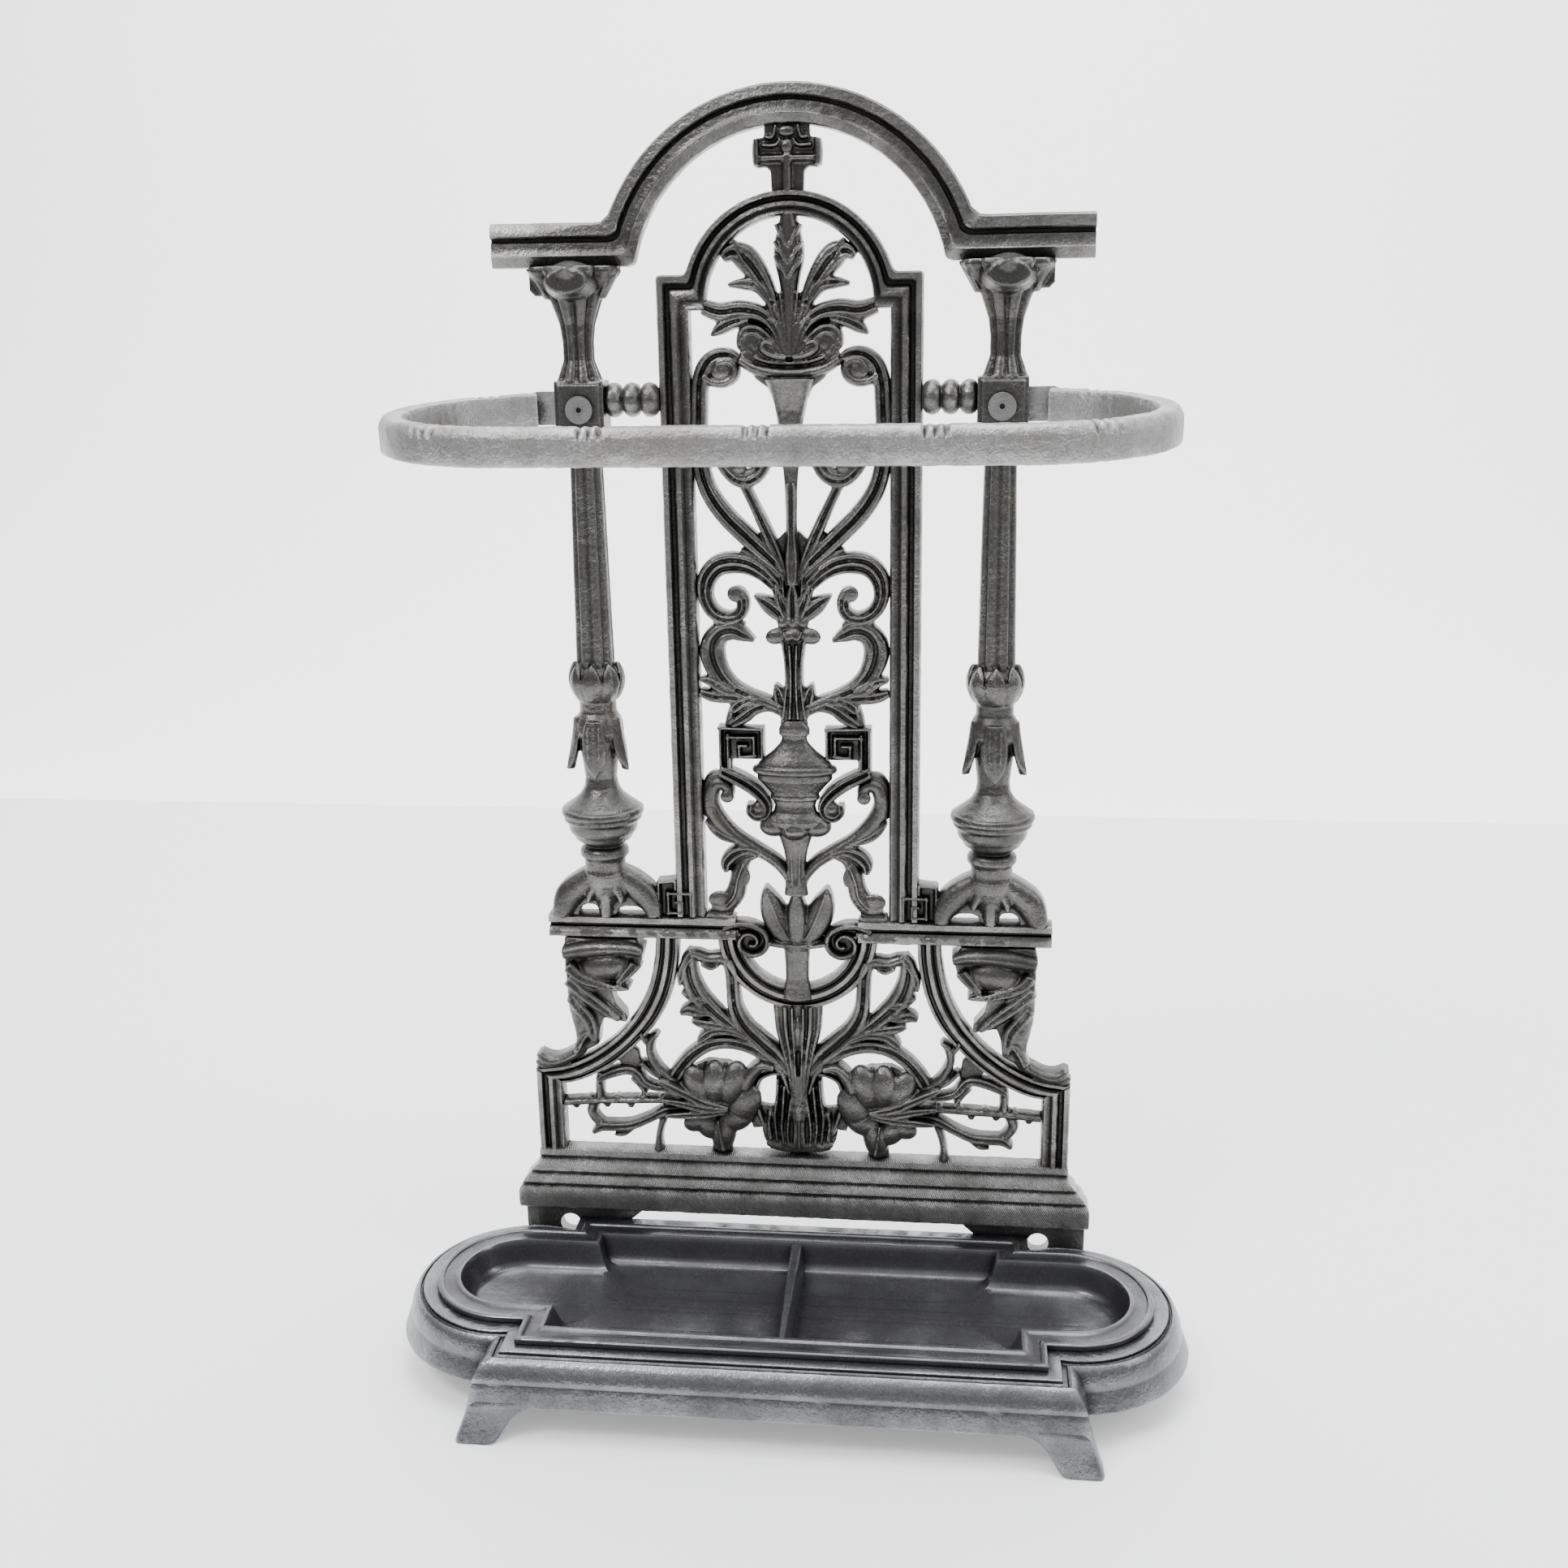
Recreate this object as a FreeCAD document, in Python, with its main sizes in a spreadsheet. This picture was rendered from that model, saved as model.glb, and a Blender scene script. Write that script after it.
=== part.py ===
import FreeCAD, Part
import math
import os
import Sketcher
from FreeCAD import Rotation, Vector

# Cast-iron umbrella stand: a pierced back with two columns, a hoop bolted to the columns,
# a low base on four feet and a loose drip tray. Millimetres, +Z up, +X to the right, and
# -Y towards the user. The origin is on the floor under the middle of the whole stand.
# The back is drawn in its own plane: y = 0 is the face of its flat ornament.

SIZES = {
    # the back as a whole
    "panel_thick": 9.0, "rail_proud": 3.0, "groove_deep": 3.5, "groove_share": 0.2,
    "plinth_bottom": 62.0, "plinth_height": 28.0, "plinth_over": 14.0, "plinth_proud": 9.0,
    "plinth_step": 5.0, "lower_height": 162.0, "shelf_height": 16.0, "shelf_over": 38.0,
    "column_height": 395.5, "column_x": 122.0, "cap_height": 25.0, "cap_over": 50.0,
    # top rail and inner frame
    "arch_drop": 16.1, "arch_outer": 112.6, "arch_band": 22.6, "frame_half": 77.0,
    "frame_band": 19.0, "inner_drop": 6.2, "shoulder_in": 14.7, "inner_band": 14.0,
    "shoulder_rise": 16.8, "shoulder_band": 20.0, "link_half": 9.5, "link_arm": 19.5,
    # lower frame, legs and key blocks
    "pendant_over": 7.0, "pendant_band": 10.0, "sweep_band": 16.0, "post_half": 175.0,
    "post_width": 18.0, "post_height": 67.0, "key_height": 22.0,
    "leg_in": 2.0, "leg_width": 69.0, "leg_bottom": 8.0, "leg_arch": 16.0,
    "leg_eye": 7.0, "leg_eye_in": 30.0, "leg_eye_drop": 18.0, "ornament_thick": 8.0,
    # columns, from the claw foot up
    "claw_height": 29.0, "claw_in": 28.0, "claw_out": 36.0, "claw_proud": 12.0,
    "ankle_radius": 13.5, "ankle_height": 9.0, "ring_radius": 15.5, "ring_height": 9.0,
    "waist_radius": 10.5, "waist_height": 3.0, "bowl_low_radius": 12.5, "bowl_radius": 23.5,
    "bowl_height": 18.0, "rim_radius": 26.0, "rim_height": 6.0, "shoulder_radius": 24.0,
    "shoulder_height": 9.0, "throat_radius": 14.0, "neck_radius": 10.0, "neck_height": 20.0,
    "collar_radius": 15.0, "collar_tip": 18.5, "collar_height": 29.0, "band_radius": 11.5,
    "band_height": 10.0, "bulb_radius": 17.5, "bulb_height": 22.0, "shaft_low": 12.5,
    "shaft_high": 10.0, "block_side": 27.0, "block_height": 32.0, "block_proud": 11.0,
    "block_recess": 6.0, "flare_height": 12.0, "capital_radius": 9.0, "capital_height": 20.0,
    "bell_radius": 15.0, "bell_height": 15.0, "abacus_radius": 23.0, "abacus_height": 16.5,
    # bead spindles between the columns and the inner frame
    "spindle_radius": 6.5, "bead_radius": 10.0, "spindle_drop": 11.0,
    # hoop
    "hoop_half": 214.0, "hoop_front": 168.0, "hoop_thick": 13.0, "hoop_high": 19.5,
    "hoop_bevel": 3.5, "hoop_tilt": 3.5, "hoop_start": 28.0, "lug_end": 9.0,
    "lug_overlap": 7.0,
    # fasteners
    "bolt_d": 8.0, "bolt_play": 1.0, "head_d": 16.0, "head_high": 3.5, "dimple_d": 3.0,
    "nut_side": 13.0, "nut_high": 6.5, "washer_d": 17.0, "washer_thick": 1.6, "bolt_tip": 1.0,
    "thread_play": 0.2, "dimple_deep": 1.5, "base_bolt_in": 15.0, "base_bolt_z": 34.0,
    # drip tray
    "tray_front": 146.0, "tray_front_half": 157.0, "rear_step": 13.0, "lobe_out": 16.0,
    "lobe_y": 74.0, "tray_lobe": 51.0, "flange_thick": 4.0, "flange_rest": 7.0,
    "flange_wide": 15.0, "tray_depth": 20.0, "tray_wall": 3.5, "tray_draft": 4.0,
    "lift_play": 3.0, "rib_foot": 6.0, "rib_top": 2.0, "rib_high": 14.0,
    # base
    "rim_z": 49.0, "edge_z": 35.0, "skirt_z": 22.0, "base_wall": 5.0, "deck_thick": 4.0,
    "rim_margin": 3.0, "lobe_margin": 6.0, "edge_side": 19.0, "edge_front": 17.0,
    "edge_lobe": 11.5, "skirt_side": 2.0, "skirt_front": 3.0, "skirt_lobe": 4.5,
    "foot_wide": 25.0, "foot_deep": 13.0, "foot_kick": 7.0, "foot_spread": 8.0,
}


class Dim:
    """A length that knows its value and the spreadsheet expression behind it."""

    def __init__(self, value, text):
        self.value = value
        self.text = text

    def __add__(self, other):
        other = dim(other)
        return Dim(self.value + other.value, "(%s + %s)" % (self.text, other.text))

    def __sub__(self, other):
        other = dim(other)
        return Dim(self.value - other.value, "(%s - %s)" % (self.text, other.text))

    def __mul__(self, other):
        other = dim(other)
        return Dim(self.value * other.value, "(%s * %s)" % (self.text, other.text))

    def __truediv__(self, other):
        other = dim(other)
        return Dim(self.value / other.value, "(%s / %s)" % (self.text, other.text))

    def __neg__(self):
        return self * -1


def dim(number):
    """The number itself as a length, or the length unchanged."""
    if isinstance(number, Dim):
        return number
    return Dim(float(number), repr(float(number)))


doc = FreeCAD.newDocument("umbrella_stand")
sheet = doc.addObject("Spreadsheet::Sheet", "Sizes")
for row, (alias, number) in enumerate(SIZES.items(), 1):
    sheet.set("A%d" % row, alias)
    sheet.set("B%d" % row, str(number))
    sheet.setAlias("B%d" % row, alias)
doc.recompute()


class Sizes:
    """Each alias of the sheet as a length."""

    def __getattr__(self, alias):
        return Dim(float(sheet.get(alias)), "Sizes.%s" % alias)


S = Sizes()
REACH = 60      # how far a cutting tool runs past the solid it cuts

# Heights and places that several pieces share
RIM_HALF = S.tray_front_half + S.rim_margin
RIM_FRONT = S.tray_front + S.rim_margin
RIM_LOBE = S.tray_lobe + S.lobe_margin
LOBE_X = S.tray_front_half + S.lobe_out
TRAY_REAR_HALF = S.tray_front_half - S.rear_step
REAR_HALF = TRAY_REAR_HALF + S.lobe_margin
EDGE_HALF = RIM_HALF + S.edge_side
EDGE_FRONT = RIM_FRONT + S.edge_front
EDGE_LOBE = RIM_LOBE + S.edge_lobe
SKIRT_HALF = EDGE_HALF + S.skirt_side
SKIRT_FRONT = EDGE_FRONT + S.skirt_front
SKIRT_LOBE = EDGE_LOBE + S.skirt_lobe
FRONT_REACH = SKIRT_FRONT + S.foot_kick
BASE_BOLT_X = REAR_HALF - S.base_bolt_in
BACK_REACH = S.panel_thick + S.washer_thick + S.nut_high + S.bolt_tip
PANEL_Y = (FRONT_REACH - BACK_REACH) / 2
PLINTH_TOP = S.plinth_bottom + S.plinth_height
SHELF_BOTTOM = PLINTH_TOP + S.lower_height
SHELF_TOP = SHELF_BOTTOM + S.shelf_height
CAP_BOTTOM = SHELF_TOP + S.column_height
ARCH_Z = CAP_BOTTOM - S.arch_drop
INNER_Z = ARCH_Z - S.inner_drop
SHOULDER_Z = INNER_Z + S.shoulder_rise
STILE_TOP = SHOULDER_Z - S.shoulder_band
FRAME_INNER = S.frame_half - S.frame_band
SHELF_INNER = FRAME_INNER - S.frame_band
PENDANT_OUTER = SHELF_INNER + S.pendant_over
INNER_OUTER = S.frame_half - S.shoulder_in
INNER_RADIUS = INNER_OUTER - S.inner_band
PLINTH_HALF = S.post_half + S.plinth_over
LEG_OUTER = PLINTH_HALF - S.leg_in
KEY_WIDTH = S.column_x - S.claw_in - S.frame_half
BLOCK_TOP = CAP_BOTTOM - S.abacus_height - S.bell_height - S.capital_height - S.flare_height
BOLT_Z = BLOCK_TOP - S.block_height / 2
LUG_FRONT = S.panel_thick - S.block_recess
SIDES = {"left": -1, "right": 1}

nodes = {}


# ---------------------------------------------------------------- helpers

def place(item, x=0, y=0, z=0):
    """Tie an object's position to the sheet."""
    for axis, distance in (("x", x), ("y", y), ("z", z)):
        item.setExpression("Placement.Base." + axis, dim(distance).text)


def bind(kind, name, turn=None, at=(0, 0, 0), **lengths):
    """A Part primitive whose sizes and position follow the sheet."""
    item = doc.addObject("Part::" + kind, name)
    if turn is not None:
        item.Placement.Rotation = turn
    for key, length in lengths.items():
        item.setExpression(key, dim(length).text)
    place(item, *at)
    return item


def join(name, pieces):
    """One solid from several primitives."""
    item = doc.addObject("Part::MultiFuse", name)
    item.Shapes = pieces
    item.Refine = True
    return item


def subtract(name, base, tool):
    """The base with the tool cut away."""
    item = doc.addObject("Part::Cut", name)
    item.Base = base
    item.Tool = tool
    return item


def group(name, pieces):
    """Separate solids of one kind that share a node."""
    item = doc.addObject("Part::Compound", name)
    item.Links = pieces
    return item


def keep(name, item, on_panel=True):
    """Register an object as the sub-part called name."""
    item.Label = name
    if on_panel:
        place(item, 0, PANEL_Y, 0)
    nodes[name] = item


def keep_shape(name, shape):
    """Register a shape drawn by code as the sub-part called name."""
    item = doc.addObject("Part::Feature", name)
    item.Shape = shape
    item.Label = name
    shift = FreeCAD.Placement(Vector(0, PANEL_Y.value, 0), Rotation())
    item.Placement = shift.multiply(shape.Placement)
    nodes[name] = item


def face_of(steps, lift):
    """Closed flat face: a step is a corner, or a pair of a point on an arc and its end."""
    start = lift(*steps[0])
    here = start
    edges = []
    for step in list(steps[1:]) + [steps[0]]:
        if isinstance(step[0], tuple):
            end = lift(*step[1])
            edges.append(Part.Arc(here, lift(*step[0]), end).toShape())
        else:
            end = lift(*step)
            if end.distanceToPoint(here) > 1e-6:
                edges.append(Part.LineSegment(here, end).toShape())
        here = end
    return Part.Face(Part.Wire(edges))


def upright(x, z):
    """A point of the back's own plane."""
    return Vector(x, 0, z)


def slab(steps, front, back):
    """Plate of the back: an outline in its plane, from depth front to depth back."""
    face = face_of(steps, upright)
    face.translate(Vector(0, front, 0))
    return face.extrude(Vector(0, back - front, 0))


def mirrored(shape):
    """The same piece on the other side of the middle."""
    return shape.mirror(Vector(0, 0, 0), Vector(1, 0, 0))


def both_sides(name, shape):
    """A piece drawn for the right, and its mirror image on the left."""
    keep_shape("right_" + name, shape)
    keep_shape("left_" + name, mirrored(shape))


def one_solid(shape):
    """The largest solid of a cut, without the offcuts."""
    return max(shape.Solids, key=lambda solid: solid.Volume)


def spline(points):
    """Smooth edge through the points."""
    curve = Part.BSplineCurve()
    curve.interpolate(points)
    return curve.toShape()


def ribbon(points, halves, front=0.0, back=None):
    """Flat bar along a smooth line; its half width runs evenly through halves."""
    back = S.ornament_thick.value if back is None else back
    line = Part.BSplineCurve()
    line.interpolate([upright(*point) for point in points])
    steps = 3 * len(points)
    left = []
    right = []
    for step in range(steps + 1):
        at = line.FirstParameter + (line.LastParameter - line.FirstParameter) * step / steps
        along = line.tangent(at)[0]
        side = Vector(along.z, 0, -along.x)
        share = step / steps * (len(halves) - 1)
        low = min(int(share), len(halves) - 2)
        half = halves[low] + (share - low) * (halves[low + 1] - halves[low])
        left.append(line.value(at) + side * half)
        right.append(line.value(at) - side * half)
    edges = [spline(left), Part.LineSegment(left[-1], right[-1]).toShape(),
             spline(right), Part.LineSegment(right[0], left[0]).toShape()]
    face = Part.Face(Part.Wire(Part.__sortEdges__(edges)))
    face.translate(Vector(0, front, 0))
    return face.extrude(Vector(0, back - front, 0))


def disc(x, z, radius, front=0.0, back=None):
    """Round plate of the back."""
    back = S.ornament_thick.value if back is None else back
    return Part.makeCylinder(radius, back - front, Vector(x, front, z), Vector(0, 1, 0))


def upper(*points):
    """Points of the upper ornament, stretched to the inner frame it hangs in.

    They are drawn from the shelf's top for an opening 58 wide each side and 421.5 high."""
    wide = FRAME_INNER.value / 58.0
    high = (INNER_Z + INNER_RADIUS - SHELF_TOP).value / 421.5
    return [(x * wide, SHELF_TOP.value + z * high) for x, z in points]


def lower(*points):
    """Points of the lower ornament, drawn from the plinth's top, 175 wide and 162 high."""
    wide = S.post_half.value / 175.0
    high = S.lower_height.value / 162.0
    return [(x * wide, PLINTH_TOP.value + z * high) for x, z in points]


def grooved(steps, groove):
    """Moulded rail: a proud plate with a groove sunk in its face."""
    front = -S.rail_proud.value
    rail = slab(steps, front, S.panel_thick.value)
    return rail.cut(slab(groove, front - 1, front + S.groove_deep.value))


# ---------------------------------------------------------------- top rail and inner frame

def crown(outer, inner, top, bottom, half):
    """Outline of an arch that stands on level arms, from radius inner to radius outer."""
    centre = ARCH_Z.value
    outer_x = math.sqrt(outer ** 2 - (top - centre) ** 2)
    inner_x = math.sqrt(inner ** 2 - (bottom - centre) ** 2)
    return [(half, bottom), (half, top), (outer_x, top),
            ((0, centre + outer), (-outer_x, top)),
            (-half, top), (-half, bottom), (-inner_x, bottom),
            ((0, centre + inner), (inner_x, bottom))]


def top_rail():
    """Round arch on two level caps, with a groove all the way along."""
    outer = S.arch_outer.value
    inner = outer - S.arch_band.value
    low = CAP_BOTTOM.value
    high = low + S.cap_height.value
    half = (S.column_x + S.cap_over).value
    third = S.groove_share.value
    band = outer - inner
    deep = high - low
    rail = crown(outer, inner, high, low, half)
    groove = crown(outer - band * third * 2, outer - band * third * 3,
                   high - deep * third * 2, high - deep * third * 3, half + 1)
    keep_shape("top_rail", grooved(rail, groove))


def frame_arch():
    """Inner arch with square shoulders, standing on the two stiles."""
    def outline(inset, deep):
        radius = INNER_OUTER.value - inset
        inner = radius - deep
        top = SHOULDER_Z.value - inset
        low = STILE_TOP.value
        centre = INNER_Z.value
        side = S.frame_half.value - inset
        outer_x = math.sqrt(radius ** 2 - (top - centre) ** 2)
        ledge = max(low, top - deep)
        inner_x = math.sqrt(inner ** 2 - (ledge - centre) ** 2)
        return [(side, low), (side, top), (outer_x, top),
                ((0, centre + radius), (-outer_x, top)),
                (-side, top), (-side, low), (-side + deep, low), (-side + deep, ledge),
                (-inner_x, ledge), ((0, centre + inner), (inner_x, ledge)),
                (side - deep, ledge), (side - deep, low)]

    centre = INNER_Z.value
    low = STILE_TOP.value
    radius = INNER_OUTER.value
    inner = INNER_RADIUS.value
    top = SHOULDER_Z.value
    outer_x = math.sqrt(radius ** 2 - (top - centre) ** 2)
    inner_x = math.sqrt(inner ** 2 - (low - centre) ** 2)
    half = S.frame_half.value
    rail = [(half, low), (half, top), (outer_x, top), ((0, centre + radius), (-outer_x, top)),
            (-half, top), (-half, low), (-inner_x, low), ((0, centre + inner), (inner_x, low))]
    inset = S.frame_band.value * S.groove_share.value * 1.5
    groove = outline(inset, S.frame_band.value * S.groove_share.value)
    keep_shape("frame_arch", grooved(rail, groove))


def stiles():
    """Upright sides of the inner frame, each with one long groove."""
    for side, sign in SIDES.items():
        low_x = FRAME_INNER if sign > 0 else -S.frame_half
        inset = S.frame_band * S.groove_share * 1.5
        groove_x = S.frame_half - inset - S.frame_band * S.groove_share
        bar = bind("Box", side + "_stile_bar", at=(low_x, -S.rail_proud, SHELF_TOP),
                   Length=S.frame_band, Width=S.panel_thick + S.rail_proud,
                   Height=STILE_TOP - SHELF_TOP)
        cut_x = groove_x if sign > 0 else -(S.frame_half - inset)
        groove = bind("Box", side + "_stile_groove",
                      at=(cut_x, -S.rail_proud - 1, SHELF_TOP + S.key_height),
                      Length=S.frame_band * S.groove_share, Width=S.groove_deep + 1,
                      Height=STILE_TOP - SHELF_TOP)
        keep(side + "_stile", subtract(side + "_stile_cut", bar, groove))


def cross_link():
    """Cross-shaped tie between the top rail and the inner arch."""
    low = INNER_Z.value + INNER_OUTER.value
    high = ARCH_Z.value + (S.arch_outer - S.arch_band).value
    half = S.link_half.value
    arm = S.link_arm.value
    rise = high - low
    steps = [(half, low - rise * 0.3), (half, low + rise * 0.32), (arm, low + rise * 0.38),
             (arm, low + rise * 0.76), (half + 2, low + rise * 0.84), (half + 2, high + 3)]
    steps += [(-x, z) for x, z in reversed(steps)]
    link = slab(steps, -S.rail_proud.value / 2, S.ornament_thick.value)
    solids = [nodes["top_rail"].Shape, nodes["frame_arch"].Shape]
    keep_shape("cross_link", one_solid(link.cut([back_to_panel(shape) for shape in solids])))


def back_to_panel(shape):
    """A placed sub-part's shape, brought back to the panel's own coordinates."""
    moved = shape.copy()
    moved.translate(Vector(0, -PANEL_Y.value, 0))
    return moved


# ---------------------------------------------------------------- shelf and lower frame

def shelves():
    """Level moulding under each column; its inner end carries the pendant."""
    low = SHELF_BOTTOM.value
    high = SHELF_TOP.value
    inner = SHELF_INNER.value
    half = (S.column_x + S.shelf_over).value
    band = high - low
    groove = [(inner + band * 0.3, low + band * 0.45), (half + 1, low + band * 0.45),
              (half + 1, low + band * 0.65), (inner + band * 0.3, low + band * 0.65)]
    rail = [(inner, low), (half, low), (half, high), (inner, high)]
    both_sides("shelf", grooved(rail, groove))


def pendant():
    """Half ring that hangs below the shelf's two inner ends."""
    centre = SHELF_BOTTOM.value
    outer = PENDANT_OUTER.value
    inner = outer - S.pendant_band.value

    def half_ring(large, small):
        return [(large, centre), ((0, centre - large), (-large, centre)),
                (-small, centre), ((0, centre - small), (small, centre))]
    middle = (outer + inner) / 2
    width = (outer - inner) * S.groove_share.value / 2
    keep_shape("pendant", grooved(half_ring(outer, inner),
                                  half_ring(middle + width, middle - width)))


def sweeps():
    """Hollow quarter-round rails from the shelf down to the posts."""
    top = SHELF_BOTTOM.value
    low = PLINTH_TOP.value + S.post_height.value
    right = S.post_half.value
    radius = top - low
    inner = radius + S.sweep_band.value
    middle = radius + S.sweep_band.value / 2
    width = S.sweep_band.value * S.groove_share.value / 2
    def quarter(small, large):
        slant = math.sqrt(0.5)
        return [(right - small, top), ((right - small * slant, top - small * slant),
                                       (right, top - small)),
                (right, top - large), ((right - large * slant, top - large * slant),
                                       (right - large, top))]
    rail = quarter(radius, inner)
    both_sides("sweep", grooved(rail, quarter(middle - width, middle + width)))


def posts():
    """Uprights at the two ends of the plinth."""
    for side, sign in SIDES.items():
        low_x = S.post_half - S.post_width if sign > 0 else -S.post_half
        bar = bind("Box", side + "_post", at=(low_x, PANEL_Y - S.rail_proud, PLINTH_TOP),
                   Length=S.post_width, Width=S.panel_thick + S.rail_proud,
                   Height=S.post_height - S.sweep_band)
        keep(side + "_post", bar, on_panel=False)


def key_blocks():
    """Square blocks with a key pattern, at the foot of each stile."""
    left = S.frame_half.value
    low = SHELF_TOP.value
    wide = KEY_WIDTH.value
    high = S.key_height.value
    front = -S.rail_proud.value
    block = slab([(left, low), (left + wide, low), (left + wide, low + high),
                  (left, low + high)], front, S.panel_thick.value)
    line = wide / 8
    hook = [(left + line, low + high * 0.8), (left + wide - line, low + high * 0.8),
            (left + wide - line, low + line), (left + line * 2, low + line),
            (left + line * 2, low + high * 0.5), (left + wide * 0.6, low + high * 0.5),
            (left + wide * 0.6, low + high * 0.35), (left + line * 3.2, low + high * 0.35),
            (left + line * 3.2, low + line * 2), (left + wide - line * 2, low + line * 2),
            (left + wide - line * 2, low + high * 0.68), (left + line, low + high * 0.68)]
    groove = slab(hook, front - 1, front + S.groove_deep.value)
    both_sides("key_block", block.cut(groove))


def consoles():
    """Leafy brackets below the shelf's outer ends."""
    top = SHELF_BOTTOM.value
    low = PLINTH_TOP.value + S.post_height.value
    x = S.column_x.value
    drop = top - low
    steps = [(x - 23, top), (x + 27, top), (x + 27, top - drop * 0.1),
             ((x + 29, top - drop * 0.45), (x + 20, top - drop * 0.74)),
             (x + 15, top - drop * 0.76), (x + 12, top - drop * 0.6),
             ((x + 2, top - drop * 0.42), (x - 12, top - drop * 0.3)),
             (x - 24, top - drop * 0.12)]
    bracket = slab(steps, -S.claw_proud.value, S.panel_thick.value)
    stem = ribbon([(x + 16, top - drop * 0.72), (x + 24, top - drop * 0.84),
                   (x + 35, top - drop * 0.9), (x + 46, top - drop * 0.87),
                   (x + 50, top - drop * 0.83)], [8, 6, 5, 4, 2])
    below = slab([(x - REACH, low - REACH)] + sweep_edge() + [(x - REACH, top)], -REACH, REACH)
    solid = bracket.fuse(stem).cut(below)
    both_sides("console", one_solid(solid.removeSplitter()))


def sweep_edge():
    """The upper edge of the quarter-round rail, as outline steps from its foot to its head."""
    top = SHELF_BOTTOM.value
    low = PLINTH_TOP.value + S.post_height.value
    right = S.post_half.value
    radius = top - low
    slant = math.sqrt(0.5)
    return [(right, low - REACH), (right, low),
            ((right - radius * slant, top - radius * slant), (right - radius, top))]


def plinth():
    """Three-stepped foot moulding of the back."""
    slabs = []
    layers = 3
    for layer in range(layers):
        inset = S.plinth_step * layer
        depth = S.plinth_proud - (S.plinth_proud - S.rail_proud) / layers * layer
        slabs.append(bind("Box", "plinth_step_%d" % (layer + 1),
                          at=(-(PLINTH_HALF - inset), -depth,
                              S.plinth_bottom + S.plinth_height / layers * layer),
                          Length=(PLINTH_HALF - inset) * 2, Width=S.panel_thick + depth,
                          Height=S.plinth_height / layers))
    keep("plinth", join("plinth_moulding", slabs))


def pad_body(name, corners, depth):
    """Plate as a body: a sketch of fixed corners in the back's plane, padded backwards."""
    body = doc.addObject("PartDesign::Body", name)
    sketch = body.newObject("Sketcher::SketchObject", name + "_outline")
    plane = [item for item in body.Origin.OriginFeatures if item.Role == "XZ_Plane"][0]
    sketch.AttachmentSupport = (plane, "")
    sketch.MapMode = "FlatFace"
    for index, (x, z) in enumerate(corners):
        after = corners[(index + 1) % len(corners)]
        sketch.addGeometry(Part.LineSegment(Vector(x.value, z.value, 0),
                                            Vector(after[0].value, after[1].value, 0)))
    for index, (x, z) in enumerate(corners):
        before = (index - 1) % len(corners)
        sketch.addConstraint(Sketcher.Constraint("Coincident", before, 2, index, 1))
        across = sketch.addConstraint(Sketcher.Constraint("DistanceX", -1, 1, index, 1, x.value))
        sketch.setExpression("Constraints[%d]" % across, x.text)
        along = sketch.addConstraint(Sketcher.Constraint("DistanceY", -1, 1, index, 1, z.value))
        sketch.setExpression("Constraints[%d]" % along, z.text)
    pad = body.newObject("PartDesign::Pad", name + "_pad")
    pad.Profile = sketch
    pad.setExpression("Length", depth.text)
    return body, pad


def legs():
    """Plates below the plinth that stand behind the base and are bolted to it."""
    width = S.leg_width + S.leg_arch
    top = S.plinth_bottom - S.leg_bottom
    for side, sign in SIDES.items():
        def across(x):
            return x if sign > 0 else width - x
        corners = [(across(S.leg_arch), dim(0)), (across(width), dim(0)),
                   (across(width), top), (across(dim(0)), top),
                   (across(dim(0)), top - 2), (across(S.leg_arch), top - S.leg_arch)]
        if sign < 0:
            corners.reverse()
        body, pad = pad_body(side + "_leg", corners, S.panel_thick)
        pad.Reversed = True
        doc.recompute()
        solid_volume = pad.Shape.Volume
        holes = [(across(width - S.leg_eye_in), top - S.leg_eye_drop, S.leg_eye),
                 (across(width - LEG_OUTER + BASE_BOLT_X), S.base_bolt_z - S.leg_bottom,
                  (S.bolt_d + S.bolt_play) / 2)]
        pocket = drill(body, side + "_leg", holes)
        doc.recompute()
        if pocket.Shape.Volume > solid_volume - 1:
            raise RuntimeError("the holes of %s_leg cut nothing" % side)
        keep(side + "_leg", body)
        left_edge = LEG_OUTER - width if sign > 0 else -LEG_OUTER
        place(body, left_edge, PANEL_Y, S.leg_bottom)


def drill(body, name, holes):
    """Round holes right through a plate body, each given by its place and radius."""
    sketch = body.newObject("Sketcher::SketchObject", name + "_holes")
    plane = [item for item in body.Origin.OriginFeatures if item.Role == "XZ_Plane"][0]
    sketch.AttachmentSupport = (plane, "")
    sketch.MapMode = "FlatFace"
    for x, z, radius in holes:
        circle = sketch.addGeometry(Part.Circle(Vector(x.value, z.value, 0),
                                                Vector(0, 0, 1), radius.value))
        for kind, size in (("DistanceX", x), ("DistanceY", z)):
            index = sketch.addConstraint(Sketcher.Constraint(kind, -1, 1, circle, 3, size.value))
            sketch.setExpression("Constraints[%d]" % index, size.text)
        index = sketch.addConstraint(Sketcher.Constraint("Radius", circle, radius.value))
        sketch.setExpression("Constraints[%d]" % index, radius.text)
    pocket = body.newObject("PartDesign::Pocket", name + "_drilled")
    pocket.Profile = sketch
    pocket.Type = 1
    pocket.Midplane = True
    return pocket


# ---------------------------------------------------------------- columns and spindles

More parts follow.
